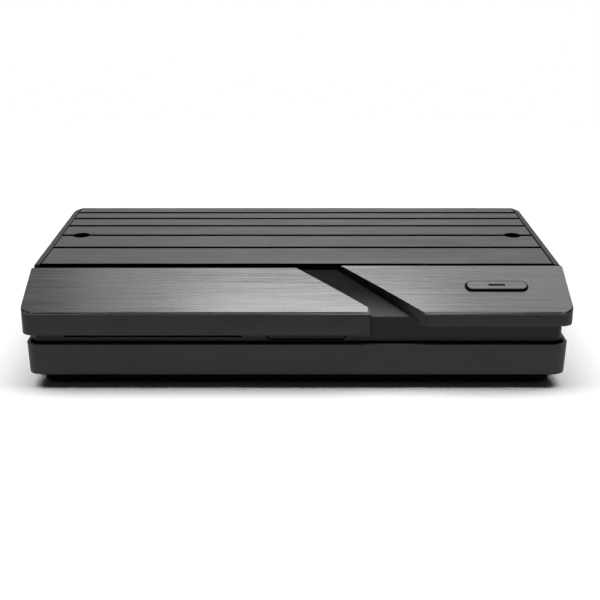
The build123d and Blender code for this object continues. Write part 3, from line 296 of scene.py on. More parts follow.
def finished(mesh, name, body, materials, smooth_angle=35.0):
    """Turns a bmesh into a piece that rides on a body; a face's index picks its material."""
    data = bpy.data.meshes.new(name)
    mesh.normal_update()
    mesh.to_mesh(data)
    mesh.free()
    data.shade_smooth()
    data.set_sharp_from_angle(angle=math.radians(smooth_angle))
    for material in materials:
        data.materials.append(material)
    piece = bpy.data.objects.new(name, data)
    bpy.context.scene.collection.objects.link(piece)
    piece.modifiers.new("even_shading", "WEIGHTED_NORMAL").keep_sharp = True
    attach(piece, body)
    return piece


def everything(mesh):
    """All the elements of a mesh, for the operators that ask for them."""
    return mesh.verts[:] + mesh.edges[:] + mesh.faces[:]


def bevelled(mesh, edges, width, segments):
    """Bevels edges: one segment leaves a flat, and more make a small radius."""
    bmesh.ops.bevel(
        mesh,
        geom=edges,
        offset=width,
        offset_type="OFFSET",
        affect="EDGES",
        segments=segments,
        profile=0.5,
        material=-1,
        clamp_overlap=True,
    )


def cut(mesh, place, across, clear=False):
    """Cuts a mesh along a plane; clear takes away what lies beyond it."""
    bmesh.ops.bisect_plane(mesh, geom=everything(mesh), plane_co=place, plane_no=across, clear_outer=clear)


def edged(mesh, faces, width):
    """Leaves a strip round some faces, which has the second finish like all the rest of the piece."""
    bmesh.ops.inset_region(mesh, faces=faces, thickness=width, use_even_offset=True)
    for face in mesh.faces:
        face.material_index = int(face not in faces)


def rounded_edges(mesh, width):
    """Rounds every edge where two faces meet at more than 25 degrees."""
    sharp = math.radians(25.0)
    edges = [e for e in mesh.edges if len(e.link_faces) == 2 and e.calc_face_angle(0.0) > sharp]
    bevelled(mesh, edges, width, 2)


def crown(mesh, rise):
    """Gives a cover's top a slight crown: its front and back edges drop by a rise."""
    steps = 8

    def on_top():
        return [f for f in mesh.faces if f.normal.dot(SLOPE_UP) > 0.999]

    ends = [v.co.y for f in on_top() for v in f.verts]
    front, back = min(ends), max(ends)
    for k in range(1, steps):
        place = (0.0, front + (back - front) * k / steps, 0.0)
        top = on_top()
        parts = {v for f in top for v in f.verts} | {e for f in top for e in f.edges} | set(top)
        order = [e for e in everything(mesh) if e in parts]
        bmesh.ops.bisect_plane(mesh, geom=order, plane_co=place, plane_no=(0.0, 1.0, 0.0))
    for vert in {v for f in on_top() for v in f.verts}:
        place = (vert.co.y - front) / (back - front) * steps
        k = min(int(place), steps - 1)
        # the drop runs straight between two cuts, so that every face stays flat
        low, high = ((2 * line / steps - 1) ** 2 for line in (k, k + 1))
        vert.co -= SLOPE_UP * rise * (low + (high - low) * (place - k))


def softened(node, name, body, materials, width, pick=None, shape=None):
    """Stands in for a CAD node with the small radii that its tool or press leaves on every edge.

    Before the edges are rounded, pick gives a face the number of its material, and shape refines the mesh.
    """
    mesh = whole_mesh(node)
    for face in mesh.faces:
        face.material_index = 0 if pick is None else pick(face)
    if shape is not None:
        shape(mesh)
    rounded_edges(mesh, width)
    piece = finished(mesh, name, body, materials)
    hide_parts(node)
    return piece


def loose_boxes(node):
    """Lowest and highest corners of every loose solid of a CAD node."""
    mesh = whole_mesh(node)
    mesh.verts.ensure_lookup_table()
    seen, boxes = set(), []
    for start in mesh.verts:
        if start.index in seen:
            continue
        seen.add(start.index)
        front, solid = [start], []
        while front:
            vert = front.pop()
            solid.append(vert.co.copy())
            for edge in vert.link_edges:
                near = edge.other_vert(vert)
                if near.index not in seen:
                    seen.add(near.index)
                    front.append(near)
        boxes.append(tuple(Vector([pick(c[k] for c in solid) for k in range(3)]) for pick in (min, max)))
    mesh.free()
    return boxes


def circle(mesh, radius, height):
    """Edge loop of a circle round the Z axis."""
    place = Matrix.Translation((0, 0, height))
    verts = bmesh.ops.create_circle(mesh, segments=24, radius=radius, matrix=place)["verts"]
    mesh.verts.index_update()
    pairs = [(v, e, e.other_vert(v)) for v in verts for e in v.link_edges]
    return [e for v, e, other in pairs if other in verts and v.index < other.index]


def drawn_through(mesh, loop, levels):
    """Draws an edge loop round the Z axis through rings of (radius, height) and returns the last loop."""
    for radius, height in levels:
        made = bmesh.ops.extrude_edge_only(mesh, edges=loop)["geom"]
        loop = [e for e in made if isinstance(e, bmesh.types.BMEdge)]
        for vert in {v for e in loop for v in e.verts}:
            share = radius / max(vert.co.xy.length, 1e-9)
            vert.co = Vector((vert.co.x * share, vert.co.y * share, height))
    return loop


def screw(radius, height, shank, reach, recess):
    """A pan-head screw that stands on Z = 0, with a tapered cross recess."""
    mesh = bmesh.new()
    bmesh.ops.create_grid(
        mesh, x_segments=3, y_segments=3, size=recess, matrix=Matrix.Translation((0, 0, height))
    )
    middles = {f: f.calc_center_median() for f in mesh.faces}
    corners = [f for f, middle in middles.items() if min(abs(middle.x), abs(middle.y)) > recess / 2]
    bmesh.ops.delete(mesh, geom=corners, context="FACES")
    cross = list(mesh.faces)
    sunk = bmesh.ops.extrude_face_region(mesh, geom=cross, use_keep_orig=False)["geom"]
    bmesh.ops.delete(mesh, geom=[f for f in cross if f.is_valid], context="FACES_ONLY")
    for vert in sunk:
        if isinstance(vert, bmesh.types.BMVert):
            vert.co = Vector((vert.co.x * 0.6, vert.co.y * 0.6, height * 0.35))
    outer = circle(mesh, radius * 0.72, height)
    rim = [e for e in mesh.edges if e.is_boundary and all(abs(v.co.z - height) < 1e-7 for v in e.verts)]
    bmesh.ops.bridge_loops(mesh, edges=rim + [e for e in outer if e not in rim])
    crest = ((radius * 0.9, height * 0.9), (radius, height * 0.62))
    foot = drawn_through(mesh, outer, (*crest, (radius, 0.0), (shank, 0.0), (shank, -reach)))
    bmesh.ops.contextual_create(mesh, geom=foot)
    bmesh.ops.recalc_face_normals(mesh, faces=mesh.faces)
    return mesh


def bar(size, edge):
    """A slim bar with rounded edges round the origin."""
    mesh = bmesh.new()
    bmesh.ops.create_cube(mesh, size=1.0, matrix=Matrix.Diagonal((*size, 1.0)))
    rounded_edges(mesh, edge)
    return mesh


def turned(profile):
    """A body turned about the Z axis from a closed profile of (radius, height) points."""
    mesh = bmesh.new()
    verts = [mesh.verts.new((radius, 0.0, height)) for radius, height in profile]
    edges = [mesh.edges.new(pair) for pair in zip(verts, verts[1:] + verts[:1])]
    bmesh.ops.spin(
        mesh,
        geom=verts + edges,
        cent=(0, 0, 0),
        axis=(0, 0, 1),
        angle=math.tau,
        steps=40,
        use_merge=True,
    )
    bmesh.ops.remove_doubles(mesh, verts=mesh.verts, dist=1e-7)
    bmesh.ops.recalc_face_normals(mesh, faces=mesh.faces)
    return mesh


def threaded_tube(root, crest, bore, pitch, length, bore_depth):
    """A tube along Z with a helical thread, a lead-in at its far end and a blind bore from there."""
    mesh = bmesh.new()
    segments = 36
    # one turn of the thread, with a narrow flat on its crest
    profile = ((root, -pitch), (crest, -0.56 * pitch), (crest, -0.44 * pitch), (root, 0.0))
    verts = [mesh.verts.new((radius, 0.0, height)) for radius, height in profile]
    edges = [mesh.edges.new(pair) for pair in zip(verts, verts[1:])]
    turns = math.ceil(length / pitch) + 2
    bmesh.ops.spin(
        mesh,
        geom=verts + edges,
        cent=(0, 0, 0),
        axis=(0, 0, 1),
        dvec=(0, 0, pitch / segments),
        angle=turns * math.tau,
        steps=turns * segments,
    )
    bmesh.ops.remove_doubles(mesh, verts=mesh.verts, dist=pitch / 100)
    for height, out in ((0.0, -1.0), (length, 1.0)):
        cut(mesh, (0, 0, height), (0, 0, out), clear=True)
    for vert in mesh.verts:
        most = crest - max(0.0, vert.co.z - length + pitch)
        if vert.co.xy.length > most:
            vert.co.xy *= most / vert.co.xy.length
    rims = [e for e in mesh.edges if e.is_boundary]
    near, far = ([e for e in rims if abs(e.verts[0].co.z - z) < 1e-7] for z in (0.0, length))
    bmesh.ops.triangle_fill(mesh, use_beauty=True, edges=near)
    mouth = circle(mesh, bore, length)
    bmesh.ops.triangle_fill(mesh, use_beauty=True, edges=far + mouth)
    inner = drawn_through(mesh, mouth, ((bore, length - bore_depth),))
    bmesh.ops.contextual_create(mesh, geom=inner)
    bmesh.ops.recalc_face_normals(mesh, faces=mesh.faces)
    return mesh


def joined(shape, places):
    """One mesh with a copy of a shape at every placement; frees the shape."""
    data = bpy.data.meshes.new("pattern")
    shape.to_mesh(data)
    shape.free()
    whole = bmesh.new()
    for place in places:
        before = len(whole.verts)
        whole.from_mesh(data)
        whole.verts.ensure_lookup_table()
        bmesh.ops.transform(whole, matrix=place, verts=whole.verts[before:])
    bpy.data.meshes.remove(data)
    return whole


def cross_headed(node, name, material, heads_up=True):
    """Stands in for a CAD node of upright screws with heads 2 mm high and shanks of 3 mm."""
    head, shank = 2.0 * MM, 1.5 * MM
    boxes = loose_boxes(node)
    low, high = boxes[0]
    radius = (high.x - low.x) / 2
    shape = screw(radius, head, shank, high.z - low.z - head, radius * 0.55)
    turn = Matrix.Rotation(0.0 if heads_up else math.pi, 4, "X")
    places = []
    for low, high in boxes:
        seat = high.z - head if heads_up else low.z + head
        places.append(Matrix.Translation(((low.x + high.x) / 2, (low.y + high.y) / 2, seat)) @ turn)
    piece = finished(joined(shape, places), name, "housing", [material])
    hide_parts(node)
    return piece


def paint(node, material):
    """Gives a CAD node that keeps its own shape a new finish."""
    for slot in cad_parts[node].material_slots:
        slot.material = material


# ------------------------------------------------------------------ settings
class ReceiverColours(bpy.types.PropertyGroup):
    """Colours of the finishes."""

    lid: bpy.props.FloatVectorProperty(
        name="Lid", description="Colour of the ribbed lid", subtype="COLOR", default=linear("#6b6b6b")
    )
    covers: bpy.props.FloatVectorProperty(
        name="Covers", description="Colour of the front covers", subtype="COLOR", default=linear("#757575")
    )
    button: bpy.props.FloatVectorProperty(
        name="Button", description="Colour of the power button", subtype="COLOR", default=linear("#757575")
    )
    base: bpy.props.FloatVectorProperty(
        name="Base", description="Colour of the base tray", subtype="COLOR", default=linear("#3b3b3b")
    )
    inner_body: bpy.props.FloatVectorProperty(
        name="Body", description="Colour of the inner body", subtype="COLOR", default=linear("#2e2e2e")
    )
    walls: bpy.props.FloatVectorProperty(
        name="Walls", description="Colour of walls and rims", subtype="COLOR", default=linear("#444444")
    )
    # near-black: painted shade inside the grooves and under the lid's top
    grooves: bpy.props.FloatVectorProperty(
        name="Grooves", description="Colour inside the grooves", subtype="COLOR", default=linear("#060606")
    )
    # the channel floor's own colour, which is also painted on the plinth as its shade
    deck_and_plinth_shade: bpy.props.FloatVectorProperty(
        name="Deck", description="Colour of channel and plinth", subtype="COLOR", default=linear("#080808")
    )
    panel: bpy.props.FloatVectorProperty(
        name="Panel", description="Colour of the rear panel", subtype="COLOR", default=linear("#1c1c1c")
    )


class ReceiverEdges(bpy.types.PropertyGroup):
    """Radii that moulding, pressing and deburring leave on the edges."""

    metal: bpy.props.FloatProperty(
        name="Metal", description="Edge radius of lid and covers", default=0.16 * MM, min=0.0, unit="LENGTH"
    )
    crown: bpy.props.FloatProperty(
        name="Crown", description="Height of the covers' crown", default=0.25 * MM, min=0.0, unit="LENGTH"
    )
    strip: bpy.props.FloatProperty(
        name="Strip", description="Width of the lid's plain strips", default=2.5 * MM, min=0.0, unit="LENGTH"
    )
    groove: bpy.props.FloatProperty(
        name="Groove", description="Wear on a groove's flanks", default=0.15 * MM, min=0.0, unit="LENGTH"
    )
    # width of the painted shade line round the button's top, for the gap round it
    rim: bpy.props.FloatProperty(
        name="Rim", description="Width of the button's plain rim", default=0.32 * MM, min=0.0, unit="LENGTH"
    )
    moulded: bpy.props.FloatProperty(
        name="Plastic", description="Edge radius of plastic shells", default=0.3 * MM, min=0.0, unit="LENGTH"
    )
    slit: bpy.props.FloatProperty(
        name="Slit", description="Drop of the slit's lower edge", default=0.2 * MM, min=0.0, unit="LENGTH"
    )
    # width of the black border painted round the window as the shade of its gap
    border: bpy.props.FloatProperty(
        name="Border", description="Width of the window's border", default=0.45 * MM, min=0.0, unit="LENGTH"
    )


class ReceiverStage(bpy.types.PropertyGroup):
    """Studio around the receiver."""

    key_power: bpy.props.FloatProperty(
        name="Key", description="Softbox close above the lid", default=1.15, min=0.0, unit="POWER"
    )
    overhead_power: bpy.props.FloatProperty(
        name="Overhead", description="Light that casts the shadow", default=74.0, min=0.0, unit="POWER"
    )
    wide_power: bpy.props.FloatProperty(
        name="Wide", description="Light that softens the shadow", default=34.0, min=0.0, unit="POWER"
    )
    ceiling_power: bpy.props.FloatProperty(
        name="Ceiling", description="Broad softbox above the lid", default=4.3, min=0.0, unit="POWER"
    )
    front_power: bpy.props.FloatProperty(
        name="Front", description="Softbox over the camera", default=1.3, min=0.0, unit="POWER"
    )
    world_strength: bpy.props.FloatProperty(
        name="Room", description="Brightness of the pale room", default=0.03, min=0.0
    )
    floor: bpy.props.FloatVectorProperty(
        name="Floor", description="Colour of the paper sweep", subtype="COLOR", default=linear("#b0b0b0")
    )


# ------------------------------------------------------------------ operators
class RECEIVER_OT_base(bpy.types.Operator):
    """Finish the base tray, its feet and its screws."""

    bl_idname = "receiver.base"
    bl_label = "Base Tray"

    def execute(self, context):
        colours, edges = context.scene.receiver_colours, context.scene.receiver_edges
        # ABS, moulded in a spark-eroded tool: dark and matt with a fine sparkle
        plastic = moulded_plastic("abs_moulded_base", colours.base, 0.5, 0.35, 0.012)
        # the plinth keeps the tool's coarser grain, and the deck's near-black colour is painted on it as the
        # shade it stands in under the tray
        plinth_shade = moulded_plastic("abs_plinth_painted_shade", colours.deck_and_plinth_shade, 0.8, 0.6, 0.03, 0.1)
        wall_foot = 6.5 * MM
        softened(
            "base_shell",
            "base_tray",
            "housing",
            [plastic, plinth_shade],
            edges.moulded,
            # faces below the wall's foot take the painted shade of the plinth
            pick=lambda face: int(max(v.co.z for v in face.verts) < wall_foot),
        )
        rubber = moulded_plastic("rubber_moulded_feet", linear("#161616"), 0.75, 0.5, 0.02, 0.3)
        softened("rubber_feet", "round_feet", "housing", [rubber], 0.45 * MM)
        black = plated_metal("steel_black_zinc_base_screws", linear("#3a3a3c"), 0.4, 1.0, 0.002)
        cross_headed("base_screws", "base_cross_screws", black, heads_up=False)
        return {"FINISHED"}


class RECEIVER_OT_inner_body(bpy.types.Operator):
    """Finish the inner body and its infrared window."""

    bl_idname = "receiver.inner_body"
    bl_label = "Inner Body"

    def execute(self, context):
        colours, edges = context.scene.receiver_colours, context.scene.receiver_edges
        plastic = moulded_plastic("abs_moulded_inner_body", colours.inner_body, 0.45, 0.3, 0.008, 0.32)
        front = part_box("middle_frame")[0][1]
        floor = self.channel_floor(colours.deck_and_plinth_shade, front)
        # faces inside the card slit are near-black: painted shade for the slit's dark inside
        shade = moulded_plastic("abs_slit_painted_shade", linear("#020202"), 0.9, 0.3, 0.01, 0.05)
        # the card slit's ends, half its height and its level, which is set from the lid's top
        left, right, half = -95.1 * MM, -22.3 * MM, 1.0 * MM
        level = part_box("top_cover")[1][2] - 22.6 * MM
        near = 0.05 * MM

        def pick(face):
            middle = face.calc_center_median()
            in_slit = left < middle.x < right and abs(middle.z - level) < half + 0.02 * MM
            # faces inside the slit take the painted shade
            if in_slit and middle.y > front + 0.1 * MM:
                return 2
            return int(abs(face.normal.z) > 0.5)

        def lower_slit(mesh):
            """Lets the slit's lower edge down a little, as its moulded lead-in does."""
            for vert in mesh.verts:
                if left < vert.co.x < right and abs(vert.co.z - level + half) < near:
                    vert.co.z -= edges.slit

        def outline(mesh):
            """Paints a black border along the window's rim, as painted shade of the gap round the pane."""
            foremost = min(v.co.y for v in mesh.verts)
            facing = [f for f in mesh.faces if f.normal.y < -0.9]
            pane = [f for f in facing if f.calc_center_median().y < foremost + near]
            edged(mesh, pane, edges.border)

        softened(
            "middle_frame",
            "inner_body",
            "housing",
            [plastic, floor, shade],
            edges.moulded,
            pick,
            lower_slit,
        )
        # cast acrylic, dark to the eye but open to infrared light, polished on its face
        acrylic = clear_resin("acrylic_infrared_window", linear("#0b0b09"), 0.12, 0.25)
        # a matt black border on the acrylic's rim that swallows nearly all light: painted shade of the gap
        # round the pane
        border_shade = moulded_plastic("window_border_painted_shade", linear("#010101"), 0.9, 0.3, 0.01, 0.03)
        softened(
            "ir_window",
            "infrared_pane",
            "housing",
            [acrylic, border_shade],
            0.08 * MM,
            shape=outline,
        )
        return {"FINISHED"}

    def channel_floor(self, colour, front):
        """The channel's floor: moulded matt at the lid, and ever more polished towards its front."""
        material, tree, output = new_material("abs_polished_channel_floor")
        place = add_node(tree, "ShaderNodeTexCoord").outputs["Object"]
        depth = add_node(tree, "ShaderNodeSeparateXYZ", {0: place}).outputs["Y"]
        grain = stretched_noise(tree, (0.3, 0.3, 0.3), 3.0, 0.6)
        polished = 14.0 * MM
        roughness = add_node(
            tree,
            "ShaderNodeMath",
            {0: grain, 1: 0.06, 2: spread(tree, depth, front, front + polished, 0.26, 0.8)},
            operation="MULTIPLY_ADD",
        ).outputs[0]
        shader = add_node(
            tree,
            "ShaderNodeBsdfPrincipled",
            {
                "Base Color": (*colour, 1.0),
                "Roughness": roughness,
                "IOR": 1.5,
                "Specular IOR Level": 0.34,
                "Normal": bumped(tree, grain, 0.006 * MM),
            },
        )
        tree.links.new(shader.outputs[0], output.inputs[0])
        return material


class RECEIVER_OT_covers(bpy.types.Operator):
    """Finish the two sloped front covers."""

    bl_idname = "receiver.covers"
    bl_label = "Front Covers"

    def execute(self, context):
        colours, edges = context.scene.receiver_colours, context.scene.receiver_edges
        brushed = brushed_aluminium("aluminium_brushed_covers", colours.covers, 0.28, 0.0)
        blasted = blasted_aluminium("aluminium_blasted_cover_walls", colours.walls, 0.45)
        for side in ("left", "right"):
            softened(
                f"front_cover_{side}",
                f"cover_{side}",
                "housing",
                [brushed, blasted],
                edges.metal,
                pick=lambda face: int(face.normal.z < 0.3),
                shape=lambda mesh: crown(mesh, edges.crown),
            )
        return {"FINISHED"}


class RECEIVER_OT_lid(bpy.types.Operator):
    """Finish the ribbed lid and its screws."""

    bl_idname = "receiver.lid"
    bl_label = "Ribbed Lid"

    def execute(self, context):
        colours, edges = context.scene.receiver_colours, context.scene.receiver_edges
        brushed = brushed_aluminium("aluminium_brushed_lid", colours.lid, 0.36, 40.0, 0.7)
        blasted = blasted_aluminium("aluminium_blasted_lid_walls", colours.walls, 0.45)
        # the grooves and the faces under the top between the strips are near-black: painted shade in the
        # recesses
        sunk = blasted_aluminium("aluminium_grooves_painted_shade", colours.grooves, 0.7)
        (_, front, _), (side, back, top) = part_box("top_cover")
        strip = side - edges.strip
        # the middles of the grooves' walls all lie above this level
        lowest = top - 1.9 * MM
        rim = back - edges.strip / 2

        def groove_end(face):
            """True for an end wall of a groove, close inside the lid's sides."""
            middle = face.calc_center_median()
            return middle.z > lowest and strip < abs(middle.x) < side - 0.5 * MM

        def groove_flank(face):
            """True for a long wall of a groove, clear of the lid's own front and back."""
            middle = face.calc_center_median()
            return middle.z > lowest and front + 1.0 * MM < middle.y < back - 1.0 * MM

        def grooves_and_strips(mesh):
            """Ends the grooves where the plain side strips begin, and gives each face its finish: faces
            under the top between the strips get the painted shade.
            """
            ends = [f for f in mesh.faces if abs(f.normal.x) > 0.99 and groove_end(f)]
            for vert in {v for f in ends for v in f.verts}:
                vert.co.x = math.copysign(strip, vert.co.x)
            for step in (-1, 1):
                walls = [f for f in mesh.faces if f.normal.y * step > 0.99 and groove_flank(f)]
                for vert in {v for f in walls for v in f.verts}:
                    vert.co.y -= step * edges.groove
            for x in (-strip, strip):
                cut(mesh, (x, 0, 0), (1, 0, 0))
            cut(mesh, (0, rim, 0), (0, 1, 0))
            # points this close together would leave the rounding no room
            bmesh.ops.remove_doubles(mesh, verts=mesh.verts, dist=0.12 * MM)
            for face in mesh.faces:
                middle = face.calc_center_median()
                on_top = face.normal.z > 0.9 and middle.z > top - 0.1 * MM
                on_rim = abs(middle.x) > strip + 0.01 * MM or middle.y > rim
                # what is neither top nor rim takes the painted shade
                face.material_index = 1 if on_rim else 0 if on_top else 2

        softened(
            "top_cover",
            "ribbed_lid",
            "housing",
            [brushed, blasted, sunk],
            edges.metal / 4,
            shape=grooves_and_strips,
        )
        black = plated_metal("steel_black_zinc_lid_screws", linear("#2a2a2c"), 0.4, 1.0, 0.002)
        cross_headed("lid_screws", "lid_cross_screws", black)
        return {"FINISHED"}


class RECEIVER_OT_button(bpy.types.Operator):
    """Finish the power button and what it presses."""

    bl_idname = "receiver.button"
    bl_label = "Power Button"

    def execute(self, context):
        colours, edges = context.scene.receiver_colours, context.scene.receiver_edges
        metal = brushed_aluminium("aluminium_brushed_button", colours.button, 0.28, 80.0)
        # the button's sides and rim are the wall finish at 0.3 of its brightness: painted shade of the gap
        # round the button
        blasted = blasted_aluminium("aluminium_button_sides_painted_shade", shaded(colours.walls, 0.3), 0.5)

        def rim(mesh):
            """Paints a narrow rim round the button's top with the dark side finish, as painted shade of the
            gap round the button.
            """
            high = max(v.co.dot(SLOPE_UP) for v in mesh.verts)
            level = [f for f in mesh.faces if f.normal.dot(SLOPE_UP) > 0.99]
            top = [f for f in level if f.calc_center_median().dot(SLOPE_UP) > high - 0.05 * MM]
            edged(mesh, top, edges.rim)

        softened(
            "power_button",
            "power_key",
            "button",
            [metal, blasted],
            edges.metal / 4,
            shape=rim,
        )
        paint("button_light_guide", clear_resin("acrylic_light_guide", linear("#060606"), 0.2, 0.1))
        plastic = moulded_plastic("nylon_moulded_switch", linear("#1b1b1c"), 0.5, 0.4, 0.006)
        paint("switch_plunger", plastic)
        paint("tact_switch", plastic)
        return {"FINISHED"}


class RECEIVER_OT_rear(bpy.types.Operator):
    """Finish the rear panel and its sockets, with threads and contacts."""

    bl_idname = "receiver.rear"
    bl_label = "Rear Panel and Sockets"

    def execute(self, context):
        colours = context.scene.receiver_colours
        paint("rear_panel", powder_coat("steel_powder_coated_panel", colours.panel))
        nickel = plated_metal("brass_nickel_plated", linear("#c9c4b6"), 0.24, 1.2, 0.003)
        self.thread_satellite_inputs(nickel)
        softened("f_washers", "satellite_washers", "housing", [nickel], 0.12 * MM)
        softened("f_nuts", "satellite_nuts", "housing", [nickel], 0.35 * MM)
        shell = plated_metal("steel_nickel_plated_shells", linear("#c4c5c6"), 0.28, 2.0, 0.003)
        for node in ("hdmi_socket", "usb_socket"):
            paint(node, shell)
        plastic = moulded_plastic("nylon_moulded_sockets", linear("#161617"), 0.45, 0.4, 0.006)
        for node in ("lan_socket", "optical_socket", "infrared_jack", "dc_jack", "card_reader"):
            paint(node, plastic)
        softened(
            "optical_shutter",
            "optical_flap",
            "shutter",
            [plastic],
            0.05 * MM,
            shape=self.bevelled_sides,
        )
        gold = plated_metal("bronze_gold_plated_contacts", linear("#c99b45"), 0.22, 0.8, 0.001)
        self.add_contacts(gold)
        self.add_rings(nickel)
        return {"FINISHED"}

    def bevelled_sides(self, mesh):
        """Takes off the flap's inner side edges, so that it clears the mouth's corners when open."""
        inner = max((f for f in mesh.faces if f.normal.y < -0.9), key=lambda f: f.calc_area())
        sides = [e for e in inner.edges if abs(e.verts[0].co.z - e.verts[1].co.z) > 3.0 * MM]
        bevelled(mesh, sides, 0.3 * MM, 1)

    def thread_satellite_inputs(self, nickel):
        """Cuts a 3/8 inch thread of 32 turns per inch on both inputs, and fills them with insulators."""
        root, crest, pitch, bore = 4.28 * MM, 4.763 * MM, 25.4 / 32 * MM, 2.7 * MM
        boxes = loose_boxes("f_nuts")
        start, end = boxes[0][1].y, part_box("f_connectors")[1][1]
        level = (boxes[0][0].z + boxes[0][1].z) / 2
        outward = Matrix.Rotation(-math.pi / 2, 4, "X")
        places = [Matrix.Translation(((low.x + high.x) / 2, start, level)) @ outward for low, high in boxes]
        necks = whole_mesh("f_connectors")
        cut(necks, (0, start, 0), (0, 1, 0), clear=True)
        bmesh.ops.holes_fill(necks, edges=[e for e in necks.edges if e.is_boundary])
        threads = joined(threaded_tube(root, crest, bore, pitch, end - start, 5.0 * MM), places)
        data = bpy.data.meshes.new("threads")
        threads.to_mesh(data)
        threads.free()
        necks.from_mesh(data)
        bpy.data.meshes.remove(data)
        ports = finished(necks, "satellite_inputs", "housing", [nickel], 40.0)
        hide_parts("f_connectors")
        face = end - start - 0.5 * MM
        insulator = turned(
            (
                (0.9 * MM, face - 0.5 * MM),
                (1.3 * MM, face),
                (bore - 0.15 * MM, face),
                (bore, face - 0.15 * MM),
                (bore, face - 4.4 * MM),
                (0.9 * MM, face - 4.4 * MM),
            )
        )
        cream = moulded_plastic("polyethylene_moulded_insulator", linear("#d9d6cc"), 0.4, 0.5, 0.004)
        finished(joined(insulator, places), "satellite_insulators", "housing", [cream])

    def add_contacts(self, gold):
        """Sprung wires in the network socket, and strips on the tongues of the others."""

        def add_row(name, size, edge, places):
            finished(joined(bar(size, edge), places), name, "housing", [gold])

        low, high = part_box("lan_socket")
        middle, pitch = (low[0] + high[0]) / 2, 1.02 * MM
        depth, level = high[1] - 5.5 * MM, low[2] + 8.6 * MM
        tilt = Matrix.Rotation(math.radians(-20), 4, "X")
        wires = [Matrix.Translation((middle + (k - 3.5) * pitch, depth, level)) @ tilt for k in range(8)]
        add_row("lan_wires", (0.38 * MM, 7.0 * MM, 0.3 * MM), 0.08 * MM, wires)
        low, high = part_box("usb_socket")
        middle, depth, level = (low[0] + high[0]) / 2, high[1] - 5.0 * MM, (low[2] + high[2]) / 2
        strips = [
            Matrix.Translation((middle + place * MM, depth, level + (port * 3.65 + 0.05) * MM))
            for port in (-1, 1)
            for place in (-3.5, -1.0, 1.0, 3.5)
        ]
        add_row("usb_strips", (1.0 * MM, 7.4 * MM, 0.12 * MM), 0.03 * MM, strips)
        low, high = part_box("hdmi_socket")
        middle, depth, level = (low[0] + high[0]) / 2, high[1] - 4.4 * MM, low[2] + 3.4 * MM
        strips = [
            Matrix.Translation((middle + (k - 4.5) * MM, depth, level + side * 0.5 * MM))
            for side in (-1, 1)
            for k in range(10)
        ]
        add_row("hdmi_strips", (0.45 * MM, 7.0 * MM, 0.08 * MM), 0.02 * MM, strips)

    def add_rings(self, nickel):
        """Metal mouth of the infrared socket, and the sleeve over the power inlet's pin."""

        def add_ring(name, box, profile):
            low, high = box
            mouth = Matrix.Translation(((low[0] + high[0]) / 2, high[1], (low[2] + high[2]) / 2))
            places = [mouth @ Matrix.Rotation(-math.pi / 2, 4, "X")]
            outline = [(radius * MM, height * MM) for radius, height in profile]
            finished(joined(turned(outline), places), name, "housing", [nickel])

        lip = ((1.8, 0.0), (2.0, 0.15), (2.5, 0.15), (2.7, 0.0), (2.7, -0.1), (1.8, -0.1))
        add_ring("infrared_mouth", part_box("infrared_jack"), lip)
        tube = ((1.0, -9.0), (1.12, -9.0), (1.12, -0.9))
        tip = ((0.95, -0.55), (0.5, -0.4), (0.0, -0.4), (0.0, -0.9), (1.0, -0.9))
        add_ring("power_pin_sleeve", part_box("dc_jack"), tube + tip)


class RECEIVER_OT_electronics(bpy.types.Operator):
    """Finish the boards and everything on them."""

    bl_idname = "receiver.electronics"
    bl_label = "Boards and Chips"

    def execute(self, context):
        laminate = board_laminate("laminate_solder_mask", linear("#12351f"), linear("#2b5a36"))
        epoxy = moulded_plastic("epoxy_moulded_chips", linear("#202022"), 0.55, 0.2, 0.006)
        tin = plated_metal("steel_tin_plated_cans", linear("#c6c7c8"), 0.3, 3.0, 0.004)
        zinc = plated_metal("steel_zinc_plated_screws", linear("#b9bcc0"), 0.3, 1.0, 0.003)
        finishes = {
            "main_board": laminate,
            "button_board": laminate,
            "soc_chip": epoxy,
            "memory_chips": epoxy,
            "flash_chip": epoxy,
            "ir_receiver": epoxy,
            "power_inductors": moulded_plastic("ferrite_moulded", linear("#4b4b4e"), 0.7, 0.4, 0.02),
            "thermal_pad": moulded_plastic("silicone_pad", linear("#8e9db0"), 0.7, 0.8, 0.02),
            "heat_sink": plated_metal("aluminium_extruded_sink", linear("#a9abad"), 0.45, 2.0, 0.006),
            "heat_sink_pins": moulded_plastic("nylon_sprung_pins", linear("#1d1d1e"), 0.5, 0.4, 0.006),
            "capacitors": plated_metal("aluminium_drawn_cans", linear("#c2c4c6"), 0.3, 1.5, 0.004),
            "tuner_can": tin,
            "tuner_can_lid": tin,
            "wifi_module": tin,
            "button_board_screws": zinc,
            "status_led": clear_resin("epoxy_cast_lamp", linear("#c9ccd2"), 0.08),
            "button_flex_cable": clear_resin("polyester_ribbon", linear("#d8d8d2"), 0.3),
            "flex_sockets": moulded_plastic("nylon_ribbon_sockets", linear("#2a2623"), 0.5, 0.3, 0.004),
        }
        for node, material in finishes.items():
            paint(node, material)
        cross_headed("board_screws", "board_cross_screws", zinc)
        return {"FINISHED"}


